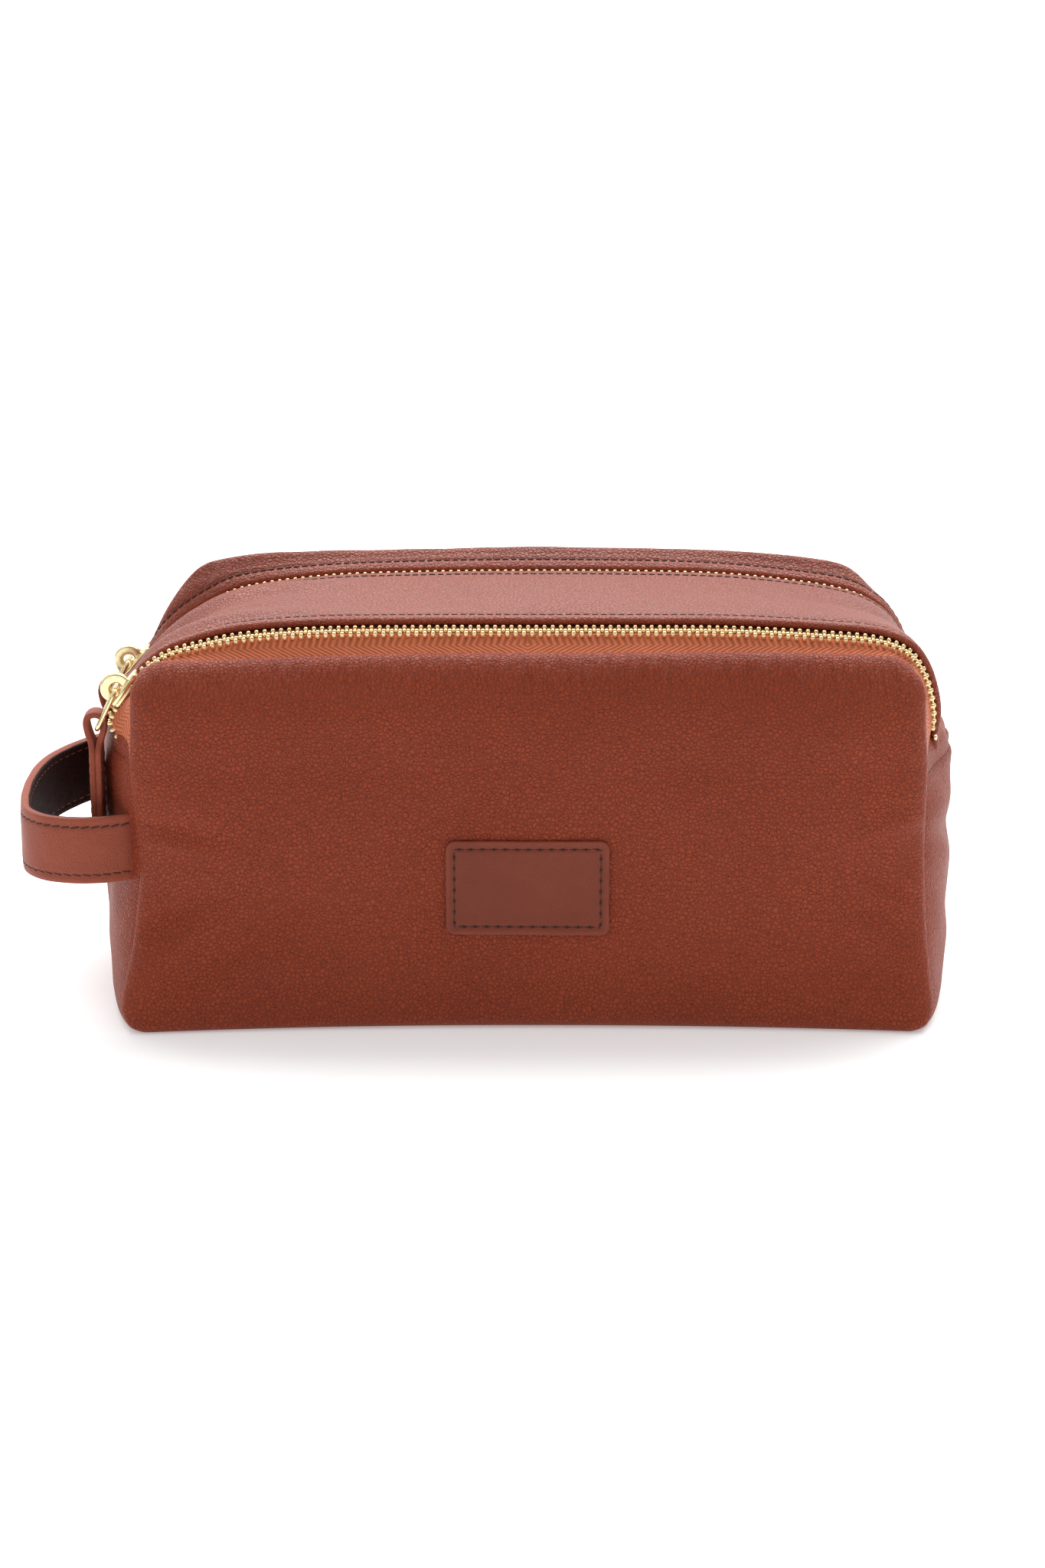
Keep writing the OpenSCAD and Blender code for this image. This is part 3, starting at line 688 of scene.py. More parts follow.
# fine creases where the leather rolls over at the top edge
band = smooth(Z, 100, 107) * (1 - 0.85 * smooth(np.abs(X), 110, 117))
fine = waves(X, Z * 0.22, 2.1, 21, 20) + 0.6 * waves(X, Z * 0.15, 1.1, 22, 20)
lift = 0.17 * band * fine
sy = -1
G = np.stack([X, -Y, Z], -1)
Nf = normals(G)
if Nf[180, 60, 1] > 0:
    Nf = -Nf
G = G + Nf * lift[..., None]
front = shell("front_leather", G, 1.7, M_leather, flip=normals(G)[180, 60, 1] > 0, edge_w=3.0, sides=(1, 1, 0, 1))
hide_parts("front_panel", "front_flap_panel")
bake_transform(front)
front_grid = G


def surface_y(x, z):
    """Depth of the front leather at x and z on the face."""
    i = int(np.argmin(np.abs(front_grid[:, 60, 0] - x)))
    col = front_grid[i]
    k = np.argsort(col[13:83, 2])
    return float(np.interp(z, col[13:83, 2][k], col[13:83, 1][k]))


# outline of the leather's top edge, from the left seam up and over to the right seam
edge_left = front_grid[0, 83 - 1:, :]
edge_top_pts = front_grid[:, -1, :]
edge_right = front_grid[-1, 83 - 1:, :][::-1]
FE = Path(np.concatenate([edge_left, edge_top_pts[1:-1], edge_right]))

# ---------------------------------------------------------------- zip tapes
L_slide_f = float(FP.l[np.argmin(np.linalg.norm(FP.p - np.array([-118.4, 98.2]), axis=1))])
L_slide_r = float(RP.l[np.argmin(np.linalg.norm(RP.p - np.array([-121.4, 88.2]), axis=1))])


def spread(l, at):
    return 0.02 + 1.35 * (1 - smooth(l, at - 3.0, at + 4.5))


TILT = 9 * RAD  # the chain leans forward a little


def drop(l, at, deep):
    """How far the chain lies below its slider's line once it is clear of the slider."""
    return -deep * smooth(l, at + 8, at + 34)


DROP = {"f": 1.25, "r": 0.95}


def band_grid(path, at, side, y0, a, b, cols=7, n=520, h0=-0.35, h1=-0.35, sag=0.0, end_pts=None, deep=0.0):
    l = np.linspace(0.6, path.length - 0.6, n)
    g = spread(l, at)
    rows = []
    for j in range(cols):
        f = j / (cols - 1)
        off = (a + g) * (1 - f) + b * f
        h = h0 * (1 - f) + h1 * f - sag * 4 * f * (1 - f) + drop(l, at, deep)
        rows.append(zpt(path, l, y0, h) + np.stack([0 * l, side * off, 0 * l], -1))
    grid = np.stack(rows, 1)
    if end_pts is not None:
        f = np.linspace(0, 1, cols)[None, :, None]
        start = grid[:, :1]
        e = end_pts(l)[:, None]
        nrm = np.stack([out2(path, l)[:, 0], 0 * l, out2(path, l)[:, 1]], -1)[:, None]
        grid = start * (1 - f) + e * f - nrm * sag * 4 * f * (1 - f)
    v = np.cumsum(np.concatenate([np.zeros((n, 1)), np.linalg.norm(np.diff(grid, axis=1), axis=2)], 1), 1)
    uv = np.stack([np.repeat(l[:, None], cols, 1), v], -1)
    return grid, uv


def ends(l):
    """The front tape's far edge: just under the leather's edge."""
    f = l / FP.length
    # even out the two lines, so that the tape runs square to the chain
    s = FE.at(f * FE.length)
    q = zpt(FP, l, -ZY, 0)
    k = s.copy()
    k = k + (q - s) * 0.02
    k[:, 2] -= 1.2
    return k


g, uv = band_grid(FP, L_slide_f, -1, -ZY, 1.2, 9, cols=15, n=560, sag=0.3, end_pts=ends, deep=DROP["f"])
t = shell("front_tape_panel_side", g, 0.6, M_tape, flip=normals(g)[280, 5, 2] < 0, uv=uv, rim=2)
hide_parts("front_tape_outer")
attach(t, "front_flap")
g, uv = band_grid(FP, L_slide_f, 1, -ZY, 1.2, 9.5, deep=DROP["f"])
t = shell("front_tape_strip_side", g, 0.6, M_tape, flip=normals(g)[280, 3, 2] < 0, uv=uv, rim=2)
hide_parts("front_tape_inner")
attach(t, "bag")
g, uv = band_grid(RP, L_slide_r, -1, ZY, 1.2, 9.5, deep=DROP["r"])
t = shell("rear_tape_strip_side", g, 0.6, M_tape, flip=normals(g)[280, 3, 2] < 0, uv=uv, rim=2)
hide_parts("rear_tape_inner")
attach(t, "bag")
g, uv = band_grid(RP, L_slide_r, 1, ZY, 1.2, 8.5, h1=-0.9, deep=DROP["r"])
t = shell("rear_tape_panel_side", g, 0.6, M_tape, flip=normals(g)[280, 3, 2] < 0, uv=uv, rim=2)
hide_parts("rear_tape_outer")
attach(t, "rear_flap")

# ---------------------------------------------------------------- teeth


def rounded_block(sx, sy, sz, r, taper=1.0):
    """Block with rounded edges, from 0 to sy along y, centred in x, from 0 to sz in z."""
    v, f = [], []
    layers = [(0.0, 1 - r * 1.6), (r * 0.4, 1 - r * 0.35), (r, 1.0), (1 - r, 1.0), (1 - r * 0.4, 1 - r * 0.35), (1.0, 1 - r * 1.6)]
    ring = []
    for a in np.linspace(0, 2 * np.pi, 12, endpoint=False):
        c, s = math.cos(a), math.sin(a)
        e = 0.42
        ring.append((math.copysign(abs(c) ** e, c), math.copysign(abs(s) ** e, s)))
    for zz, k in layers:
        for c, s in ring:
            y = (s * k + 1) / 2
            v.append([c * k * sx / 2 * (taper + (1 - taper) * (1 - y)), y * sy, zz * sz])
    m = 12
    for i in range(len(layers) - 1):
        for j in range(m):
            f.append([i * m + j, i * m + (j + 1) % m, (i + 1) * m + (j + 1) % m, (i + 1) * m + j])
    f.append(list(range(m))[::-1])
    f.append([(len(layers) - 1) * m + j for j in range(m)])
    return np.array(v), f


def tooth():
    """One metal tooth: clamp on the tape's cord, then the neck and the head that meets the other row. +y is away from the centre line."""
    clamp = rounded_block(1.3, 1.25, 2.1, 0.3)
    neck = rounded_block(0.82, 1.4, 1.3, 0.22)
    head = rounded_block(1.22, 1.1, 1.5, 0.28, 0.9)
    vs, fs, b = [], [], 0
    for (v, f), off in ((clamp, (0, 1.5, -1.15)), (neck, (0, 0.4, -0.85)), (head, (0, -0.62, -0.8))):
        v = v + np.array(off)
        vs.append(v)
        fs += [[x + b for x in q] for q in f]
        b += len(v)
    return np.concatenate(vs), fs


TOOTH = tooth()


def teeth(name, path, at, y0, side, phase, nodes, body, deep, tilt=0.0, stop=2.2):
    pitch = 2.44
    n = int((path.length - 2 * stop) / pitch)
    items = []
    for k in range(n):
        l = stop + (k + phase) * pitch
        if abs(l - at) < 5.3:
            continue  # inside the slider
        q = zpt(path, np.array([l]), y0, drop(l, at, deep))[0]
        tx, tz = path.tangent(np.array([l]), 1.6)[0]
        t = np.array([tx, 0, tz])
        n0 = np.array([-tz, 0, tx])
        b = np.array([0, 1.0, 0])
        nn = n0 * math.cos(tilt) + b * math.sin(-tilt)
        bb = np.cross(nn, t)
        bb = bb if bb[1] > 0 else -bb
        a = bb * side
        off = float(spread(l, at)) - 0.02
        v = TOOTH[0]
        p = q + a * off + v[:, :1] * t + v[:, 1:2] * a + v[:, 2:] * nn
        f = TOOTH[1] if side > 0 else [x[::-1] for x in TOOTH[1]]
        items.append((p, f))
    o = batch(name, items, M_teeth)
    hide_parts(*nodes)
    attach(o, body)
    return o


teeth("front_teeth_strip_row", FP, L_slide_f, -ZY, 1, 0.0, ["front_teeth_inner"], "bag", DROP["f"], TILT)
teeth("front_teeth_panel_row", FP, L_slide_f, -ZY, -1, 0.5, ["front_teeth_outer"], "front_flap", DROP["f"], TILT)
teeth("rear_teeth_strip_row", RP, L_slide_r, ZY, -1, 0.0, ["rear_teeth_inner"], "bag", DROP["r"])
teeth("rear_teeth_panel_row", RP, L_slide_r, ZY, 1, 0.5, ["rear_teeth_outer"], "rear_flap", DROP["r"])

# ---------------------------------------------------------------- centre strip
n, m = 420, 61
f = np.linspace(0.002, 0.998, n)
w = np.linspace(0, 1, m)
lf, lr = f * FP.length, f * RP.length
gap_f = 5.0 + 0.3 * (1 - smooth(lf, L_slide_f + 6, L_slide_f + 16))
gap_r = 3.6 + 1.6 * (1 - smooth(lr, L_slide_r + 6, L_slide_r + 16))
ea = zpt(FP, lf, -ZY + gap_f, 1.75)
eb = zpt(RP, lr, ZY - gap_r, 1.0)
nrm = np.stack([out2(FP, lf, 6)[:, 0], 0 * f, out2(FP, lf, 6)[:, 1]], -1)
Wd = w[None, :, None]
G = ea[:, None] * (1 - Wd) + eb[:, None] * Wd
Xs, Ys = G[..., 0], G[..., 1]
end = np.abs(nrm[:, 0])[:, None]
hump = 4 * w * (1 - w)
dl = np.minimum(np.abs(Ys - ea[:, None, 1]), np.abs(eb[:, None, 1] - Ys))
h = hump[None, :] * (0.35 - 1.6 * (1 - smooth(Xs, -122, -78)) - 1.1 * smooth(Xs, 62, 112)) + 0.5 * waves(Xs, Ys, 60, 31) * smooth(dl, 3, 12)
# stitch groove and the small roll between it and the edge
h = h - 0.42 * np.exp(-((dl - 3.1) / 0.75) ** 2) + 0.18 * np.exp(-((dl - 1.3) / 0.9) ** 2)
# wrinkles running out of the left end, and softer ones at the right
left = 1 - smooth(Xs, -108, -45)
righ = smooth(Xs, 66, 108)
vv = (Ys + 27) / 54
h = h + left * smooth(dl, 2.5, 8) * (1.3 * np.sin(vv * 2 * np.pi * 1.5 + 0.5 + Xs * 0.012) + 0.6 * np.sin(vv * 2 * np.pi * 3.2 + Xs * 0.03))
h = h + righ * smooth(dl, 2.5, 8) * (0.6 * np.sin(vv * 2 * np.pi * 1.2 + 2.2 - Xs * 0.02) + 0.35 * np.sin(vv * 2 * np.pi * 2.6 + 1.0))
G = G + nrm[:, None] * h[..., None]
strip_grid = G
# the right end is tucked down behind the gusset's hem
tuck = np.arange(1, 9)[:, None]
low_end = np.stack([G[-1:, :, 0] + 0.55 * tuck * hump[None, :], G[-1:, :, 1] + 0 * tuck, G[-1:, :, 2] - 1.6 * tuck], -1)
t = shell("centre_strip", np.concatenate([G, low_end]), 2.4, M_top, flip=normals(G)[210, 30, 2] < 0, edge_w=2.6, sides=(0, 0, 1, 1))
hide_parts("top_strip")
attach(t, "bag")
Ns = normals(G)
if Ns[210, 30, 2] < 0:
    Ns = -Ns
for nm, off in (("front", 3.1), ("rear", -3.1)):
    pts, nn = [], []
    for i in range(6, n - 6):
        y = G[i, 0, 1] + off if off > 0 else G[i, -1, 1] + off
        k = np.interp(y, G[i, :, 1], np.arange(m))
        a, b = int(k), min(int(k) + 1, m - 1)
        fr = k - a
        pts.append(G[i, a] * (1 - fr) + G[i, b] * fr)
        nn.append(Ns[i, a])
    s = stitches("strip_stitches_" + nm, pts, nn, 2.6, 1.8, 0.4, M_thread, lift=0.12, slant=0.05)
    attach(s, "bag")

# ---------------------------------------------------------------- rear leather


def rear_top(x):
    q = RP.at(np.linspace(0, RP.length, 900))
    q = q[(np.abs(q[:, 0]) < 119)]
    o = np.argsort(q[:, 0])
    return np.interp(x, q[o, 0], q[o, 1]) + 1.6


def rear_panel():
    n, rows = 401, []
    lr = np.linspace(0.4, RP.length - 0.4, n)
    gap = 3.2 + 1.9 * (1 - smooth(lr, L_slide_r + 5, L_slide_r + 14))
    edge = zpt(RP, lr, ZY + gap, 1.1)
    # columns keep their order where the zip turns down, so the side edge stays whole
    step = np.maximum(np.abs(np.diff(edge[:, 0])), 0.3 * np.diff(lr))
    step = np.concatenate([[0], np.cumsum(step)])
    a = 2 * step / step[-1] - 1
    right = edge[:, 0] > 0
    crest_x = [-124, -119.5, -117.2, -113.7, -110, -105.5, -99, -93.5, -81.4, -69.4, -45, -20, 0, 38, 50, 62, 74, 86, 98, 104, 109, 112, 117, 121]
    crest_z = [84, 92, 98, 107.5, 113, 116.6, 118.4, 119.2, 120, 120.6, 121.5, 122.4, 122.8, 122.2, 121.7, 120.8, 119.8, 118.6, 117.0, 115, 110, 104.5, 96, 85]
    cz = np.interp(edge[:, 0], crest_x, crest_z)
    cz = np.convolve(np.pad(cz, 4, mode="edge"), np.ones(9) / 9, "valid")
    # control profile for each column: under the base, up the face, crest, down to the zip
    pts = []
    A = a
    r = 4.5 + 5.0 * np.cos(A * math.pi / 2)
    yb = np.interp(r, FACE_Z, FACE_Y) - 1.3 * np.abs(A) ** 4
    for k in range(4):
        pts.append((A * 121.5, yb - r - 9 * (1 - k / 4), 0 * A + 0.12))
    for k in range(9):
        g = 90 * RAD * k / 9
        pts.append((A * 121.8, yb - r + r * math.sin(g), 0.12 + r * (1 - math.cos(g))))
    for k in range(60):
        g = k / 59
        zz = (r + 0.12) * (1 - g) + 76 * g
        W = half_w(zz, right)
        pts.append((A * W, smooth_interp(zz, FACE_Z, FACE_Y) - 1.3 * np.abs(A) ** 4, zz))
    x0, y0 = A * half_w(76 + 0 * A, right), smooth_interp(76 + 0 * A, FACE_Z, FACE_Y) - 1.3 * np.abs(A) ** 4
    # from the face over the crest to the zip: a cubic through the crest
    ctrl = [np.stack([x0, y0, 76 + 0 * A], -1)]
    lo = np.minimum(cz, 130)
    span = np.maximum(lo - 76, 4)
    ctrl.append(np.stack([x0 * 0.985 + edge[:, 0] * 0.015, y0 - 0.6, 76 + span * 0.42], -1))
    ctrl.append(np.stack([x0 * 0.9 + edge[:, 0] * 0.1, y0 - 2.6, 76 + span * 0.78], -1))
    ctrl.append(np.stack([x0 * 0.55 + edge[:, 0] * 0.45, ZY + gap + (y0 - ZY - gap) * 0.52, lo + 0.3 + 1.1 * smooth(np.abs(edge[:, 0]), 40, 85)], -1))
    ctrl.append(np.stack([edge[:, 0], ZY + gap + 4.2, np.maximum(edge[:, 2] + 1.0, edge[:, 2] * 0.35 + lo * 0.65)], -1))
    ctrl.append(edge)
    C = np.stack(ctrl, 0)  # 6, n, 3
    out = []
    steps = 56
    for k in range(1, steps + 1):
        s = k / steps
        q = cr(C.reshape(6, -1), np.array([s])).reshape(-1, 3)
        out.append((q[:, 0], q[:, 1], q[:, 2]))
    pts += out
    G = np.stack([np.stack(p, -1) for p in pts], 1)
    return G, lr


G, lr = rear_panel()
Xr, Zr = G[..., 0], G[..., 2]
Nr = normals(G)
if Nr[200, 40, 1] < 0:
    Nr = -Nr
m = G.shape[1]
dl = np.cumsum(np.linalg.norm(np.diff(G[:, ::-1], axis=1), axis=2), 1)
dl = np.concatenate([np.zeros((G.shape[0], 1)), dl], 1)[:, ::-1]  # distance from the zip edge
u = np.repeat(lr[:, None], m, 1)
h = (0.55 * waves(u, dl, 80, 41) + 0.25 * waves(u, dl, 30, 42)) * smooth(dl, 4, 16) * smooth(Zr, 3, 16)
h = h - 0.42 * np.exp(-((dl - 3.1) / 0.75) ** 2) + 0.18 * np.exp(-((dl - 1.3) / 0.9) ** 2)
dside = (1 - np.abs(np.clip(Xr / half_w(Zr, Xr > 0), -1, 1))) * 118
low = 1 - smooth(Zr, 70, 84)
cur = np.clip((9 - dside) / 9, 0, 1) * 0.985
G = G + Nr * h[..., None]
G[..., 1] -= 4.2 * (1 - np.sqrt(1 - cur**2)) * smooth(Zr, 0, 10) * low
rear_grid = G
G[..., 2] = np.maximum(G[..., 2], 0.12)
t = shell("rear_leather", G, 2.3, M_top, flip=normals(G)[200, 40, 1] < 0, edge_w=2.6, sides=(1, 1, 0, 1))
for v in t.data.vertices:
    v.co.z = max(v.co.z, 0.0001)
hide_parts("rear_panel", "rear_flap_panel")
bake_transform(t)
pts, nn = [], []
for i in range(4, G.shape[0] - 4):
    k = np.interp(-3.1, -dl[i], np.arange(m))
    a, b = int(k), min(int(k) + 1, m - 1)
    pts.append(G[i, a] * (1 - (k - a)) + G[i, b] * (k - a))
    nn.append(Nr[i, a])
s = stitches("rear_panel_stitches", pts, nn, 2.6, 1.8, 0.4, M_thread, lift=0.12, slant=0.05)
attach(s, "rear_flap")

# ---------------------------------------------------------------- gussets


def gusset(sign):
    n, rows = 121, 90
    w = np.sin(np.linspace(-90, 90, n) * RAD) * 0.5 + np.linspace(-1, 1, n) * 0.5
    right = sign > 0
    hem_f = 82.0 if right else 88.0
    hem = hem_f + (81.5 - hem_f) * smooth(w, -0.5, 0.6)
    zr = np.linspace(0, 1, rows)
    G = np.zeros((n, rows + 5, 3))
    for i in range(n):
        r = 3.2 + 3.0 * math.cos(w[i] * math.pi / 2)
        zz = r + (hem[i] - r) * zr
        xs = half_w(zz, right) - 1.4
        full = (1 - abs(w[i]) ** 2.4) ** 0.72
        if right:
            hug = smooth(zz, 62, 80)
            full = full * (1 - hug) + hug * (1 - abs(w[i]) ** 1.7) ** 1.25
        reach = np.interp(zz, [0, 6, 20, 45, 62, 74, 80, 85], [126.5, 128.0, 129.0, 129.4, 129.9, 129.8 if right else 130.0, 126.0 if right else 128.8, 124.0 if right else 127.2])
        x = xs + (reach - xs) * full
        depth = np.interp(zz, FACE_Z + [95], FACE_Y + [49.5]) - 5.1
        if w[i] < 0:
            depth = depth + flare(np.array(-1.0 if sign < 0 else 1.0), zz) - 0.6
        y = w[i] * depth
        # base curl
        for k in range(5):
            g = 90 * RAD * k / 5
            G[i, k] = (x[0] - r + r * math.sin(g), y[0], 0.12 + r * (1 - math.cos(g)))
        G[i, 5:, 0], G[i, 5:, 1], G[i, 5:, 2] = x, y, zz + 0.12
    yy, zz = G[..., 1], G[..., 2]
    inner = (1 - np.abs(w[:, None]) ** 3)
    hh = inner * smooth(zz, 5, 18) * (0.7 * waves(yy, zz, 50, 51 + right) + 0.35 * waves(yy, zz, 22, 53 + right))
    # soft folds that run down from the hem and a crease across the middle
    if right:
        hh = hh - 1.5 * np.exp(-(((zz - 55) + 0.25 * (yy + 30)) / 4.0) ** 2) * smooth(-yy, 12, 30) * inner
        hh = hh + 0.9 * np.exp(-(((zz - 47) + 0.3 * (yy + 30)) / 5.0) ** 2) * smooth(-yy, 0, 26) * inner
    hh = hh - 1.1 * np.exp(-((yy + 0.10 * (zz - 20)) / 6.0) ** 2) * smooth(zz, 8, 40) * (1 - smooth(zz, 66, 80))
    G[..., 0] += hh
    G[..., 0] *= sign
    return G


def hem_roll(G):
    """Small folded roll along the gusset's top edge."""
    k = np.linalg.norm(G - G[:, -1:, :], axis=2)
    return 0.55 * np.exp(-((k - 3.4) / 2.2) ** 2) - 0.5 * np.exp(-((k - 7.4) / 0.9) ** 2)


for sign, nm in ((-1, "left"), (1, "right")):
    G = gusset(sign)
    N = normals(G)
    if N[60, 50, 0] * sign < 0:
        N = -N
    G = G + N * hem_roll(G)[..., None]
    t = shell(nm + "_gusset_leather", G, 1.8, M_leather, flip=normals(G)[60, 50, 0] * sign < 0, edge_w=3.0, sides=(0, 0, 0, 1))
    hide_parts(nm + "_gusset")
    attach(t, "bag")
    k = np.linalg.norm(G - G[:, -1:, :], axis=2)
    pts = [G[i, int(np.argmin(np.abs(k[i, :-2] - 7.4)))] for i in range(8, G.shape[0] - 8)]
    nn = [N[i, -8] for i in range(8, G.shape[0] - 8)]
    s = stitches(nm + "_gusset_stitches", pts, nn, 2.35, 1.7, 0.24, M_thread, lift=-0.05)
    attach(s, "bag")

# ---------------------------------------------------------------- base
n, m = 81, 41
a = np.linspace(-1, 1, n)
b = np.linspace(-1, 1, m)
A, B = np.meshgrid(a, b, indexing="ij")
X, Yb = A * 119.5, B * 42.5
p = (np.abs(X) - 107.5) / 12
q = (np.abs(Yb) - 30.5) / 12
ins = (p > 0) & (q > 0)
pp, qq = corner(np.clip(p, 0, 1), np.clip(q, 0, 1))
X = np.where(ins, np.sign(X) * (107.5 + 12 * pp), X)
Yb = np.where(ins, np.sign(Yb) * (30.5 + 12 * qq), Yb)
G = np.stack([X, Yb, 0.02 + 0 * X], -1)
t = shell("base_leather", G, 1.6, M_leather, flip=normals(G)[40, 20, 2] > 0, edge_w=3, sides=(1, 1, 1, 1))
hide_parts("base_panel")
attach(t, "bag")

# ---------------------------------------------------------------- blank patch
n, m = 97, 65
a, b = np.linspace(-1, 1, n), np.linspace(-1, 1, m)
A, B = np.meshgrid(a, b, indexing="ij")
hw, hh, rr = 23.7, 14.0, 2.2
X, Zp = A * hw, B * hh
p = (np.abs(X) - (hw - rr)) / rr
q = (np.abs(Zp) - (hh - rr)) / rr
ins = (p > 0) & (q > 0)
pp, qq = corner(np.clip(p, 0, 1), np.clip(q, 0, 1))
X = np.where(ins, np.sign(X) * (hw - rr + rr * pp), X)
Zp = np.where(ins, np.sign(Zp) * (hh - rr + rr * qq), Zp)
dist = np.minimum((1 - np.abs(A)) * hw, (1 - np.abs(B)) * hh)
Yp = np.zeros_like(X)
for i in range(n):
    for j in range(m):
        Yp[i, j] = 0
ys = np.array([[surface_y(x, 44 + z) for z in (-15, -7.5, 0, 7.5, 15)] for x in (-24, -12, 0, 12, 24)])
from_x, from_z = np.array([-24, -12, 0, 12, 24.0]), np.array([-15, -7.5, 0, 7.5, 15.0])
for i in range(n):
    for j in range(m):
        row = [np.interp(Zp[i, j], from_z, ys[k]) for k in range(5)]
        Yp[i, j] = np.interp(X[i, j], from_x, row)
rise = 1.25 - 0.33 * np.exp(-((dist - 2.0) / 0.55) ** 2) + 0.06 * waves(X, Zp, 16, 71) * smooth(dist, 2.5, 6)
G = np.stack([X, Yp - rise, 44 + Zp], -1)
t = shell("blank_patch", G, 1.15, M_patch, flip=normals(G)[48, 32, 1] > 0, edge_w=1.6, rim=5)
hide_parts("label_patch")
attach(t, "bag")
pts = []
iw, ih, ir = hw - 2.0, hh - 2.0, 1.2
for cx, cz, a0 in ((iw - ir, ih - ir, 0), (-iw + ir, ih - ir, 90), (-iw + ir, -ih + ir, 180), (iw - ir, -ih + ir, 270)):
    for g in np.linspace(0, 90, 6):
        pts.append((cx + ir * math.cos((a0 + g) * RAD), cz + ir * math.sin((a0 + g) * RAD)))
pts.append(pts[0])
P2 = Path(pts)
loop = P2.at(np.linspace(0, P2.length, 300))


def patch_y(x, z):
    return float(np.interp(x, from_x, [np.interp(z, from_z, ys[k]) for k in range(5)])) - 0.98


pts = [(x, patch_y(x, z), 44 + z) for x, z in loop]
# painted shade: a short dark blob at each patch stitch stands for the shade in its stitch hole
d = stitches("patch_stitch_hole_shade", pts, [(0, -1, 0)] * len(pts), 3.4, 0.95, 0.4, M_hole_shade, lift=0.02)
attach(d, "bag")
s = stitches("patch_stitches", pts, [(0, -1, 0)] * len(pts), 3.4, 3.1, 0.17, M_thread, lift=0.05)
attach(s, "bag")

# ---------------------------------------------------------------- handle
handle_line = [(-116.0, -42.0), (-121.5, -44.9), (-128.5, -46.9), (-138, -46.4), (-146, -43.4), (-151.5, -37.6), (-154, -28),
               (-155, -13), (-154, 3), (-150.5, 17), (-144, 28.5), (-135.5, 38), (-128.5, 44.4), (-122, 47.4), (-116.5, 46.2)]
HP = Path(cr(handle_line, np.linspace(0, 1, 900)))
n, m = 260, 33
l = np.linspace(0, HP.length, n)
c = HP.at(l)
c[:, 0] = np.where(c[:, 0] < -122, -122 + (c[:, 0] + 122) * 0.91, c[:, 0])
tn = HP.tangent(l, 2.0)
on = np.stack([tn[:, 1], -tn[:, 0]], -1)  # turned to point out of the loop below
centre = np.array([-130.0, 0.0])
if np.dot(on[n // 2], c[n // 2] - centre) < 0:
    on = -on
v = np.linspace(-1, 1, m)
H2 = 9.9
zc = 53.6 - 0.4 * np.sin(l / HP.length * np.pi)
dz = (1 - np.abs(v)) * H2
prof = 1.75 - 0.35 * (np.abs(v) ** 6) - 0.36 * np.exp(-((dz - 2.2) / 0.55) ** 2)
ripple = 0.12 * waves(l[:, None], v[None, :] * 10, 14, 81)
G = np.zeros((n, m, 3))
G[..., 0] = c[:, None, 0] + on[:, None, 0] * (prof[None, :] + ripple)
G[..., 1] = c[:, None, 1] + on[:, None, 1] * (prof[None, :] + ripple)
G[..., 2] = zc[:, None] + v[None, :] * H2 + 0.25 * waves(l[:, None], 0, 40, 82)
flip = (normals(G)[n // 2, m // 2, :2] @ on[n // 2]) < 0
t = shell("handle_leather", G, 2.7, M_strap, flip=bool(flip), edge_w=2.2, rim=6, rim_out=0.42)
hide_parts("handle_strap")
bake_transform(t)
hg = G
for k, row in (("upper", 1), ("lower", -1)):
    j = int(np.argmin(np.abs(v - row * (1 - 2.4 / H2))))
    pts = hg[6:-6, j]
    nn = np.stack([on[6:-6, 0], on[6:-6, 1], 0 * l[6:-6]], -1)
    s = stitches("handle_stitches_" + k, pts, nn, 3.0, 2.75, 0.30, M_thread, lift=0.02, slant=0.2 * row)
    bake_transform(s)
# dark inner face
G = np.zeros((n, 21, 3))
v2 = np.linspace(-1, 1, 21)
BH = 9.75
dz = (1 - np.abs(v2)) * BH
ins = -1.62 + 0.22 * np.exp(-((dz - 2.0) / 0.5) ** 2) - 0.05 * waves(l[:, None], v2[None, :] * 9, 6, 83)
G[..., 0] = c[:, None, 0] + on[:, None, 0] * ins
G[..., 1] = c[:, None, 1] + on[:, None, 1] * ins
G[..., 2] = zc[:, None] + v2[None, :] * BH + 0.25 * waves(l[:, None], 0, 40, 82)
flip = (normals(G)[n // 2, 10, :2] @ on[n // 2]) > 0
t = shell("handle_inner_face", G, 0.9, M_back, flip=bool(flip), edge_w=0.6, rim=3, rim_out=0.4)
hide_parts("handle_backing")
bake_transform(t)
for k, row in (("upper", 1), ("lower", -1)):
    j = int(np.argmin(np.abs(v2 - row * (1 - 2.0 / BH))))
    pts = G[6:-6, j]
    nn = -np.stack([on[6:-6, 0], on[6:-6, 1], 0 * l[6:-6]], -1)
    s = stitches("handle_inner_stitches_" + k, pts, nn, 3.4, 2.3, 0.2, M_thread_l, lift=0.0)
    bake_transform(s)

# ---------------------------------------------------------------- sliders, pull rings and tabs


def place(v, at, tilt, y0):
    """Slider space (x along the zip, y across, z outward) to the row frame."""
    c, s = math.cos(tilt * RAD), math.sin(tilt * RAD)
    v = np.asarray(v, float)
    return np.stack([at[0] + v[:, 0] * c - v[:, 2] * s, y0 + v[:, 1], at[1] + v[:, 0] * s + v[:, 2] * c], -1)


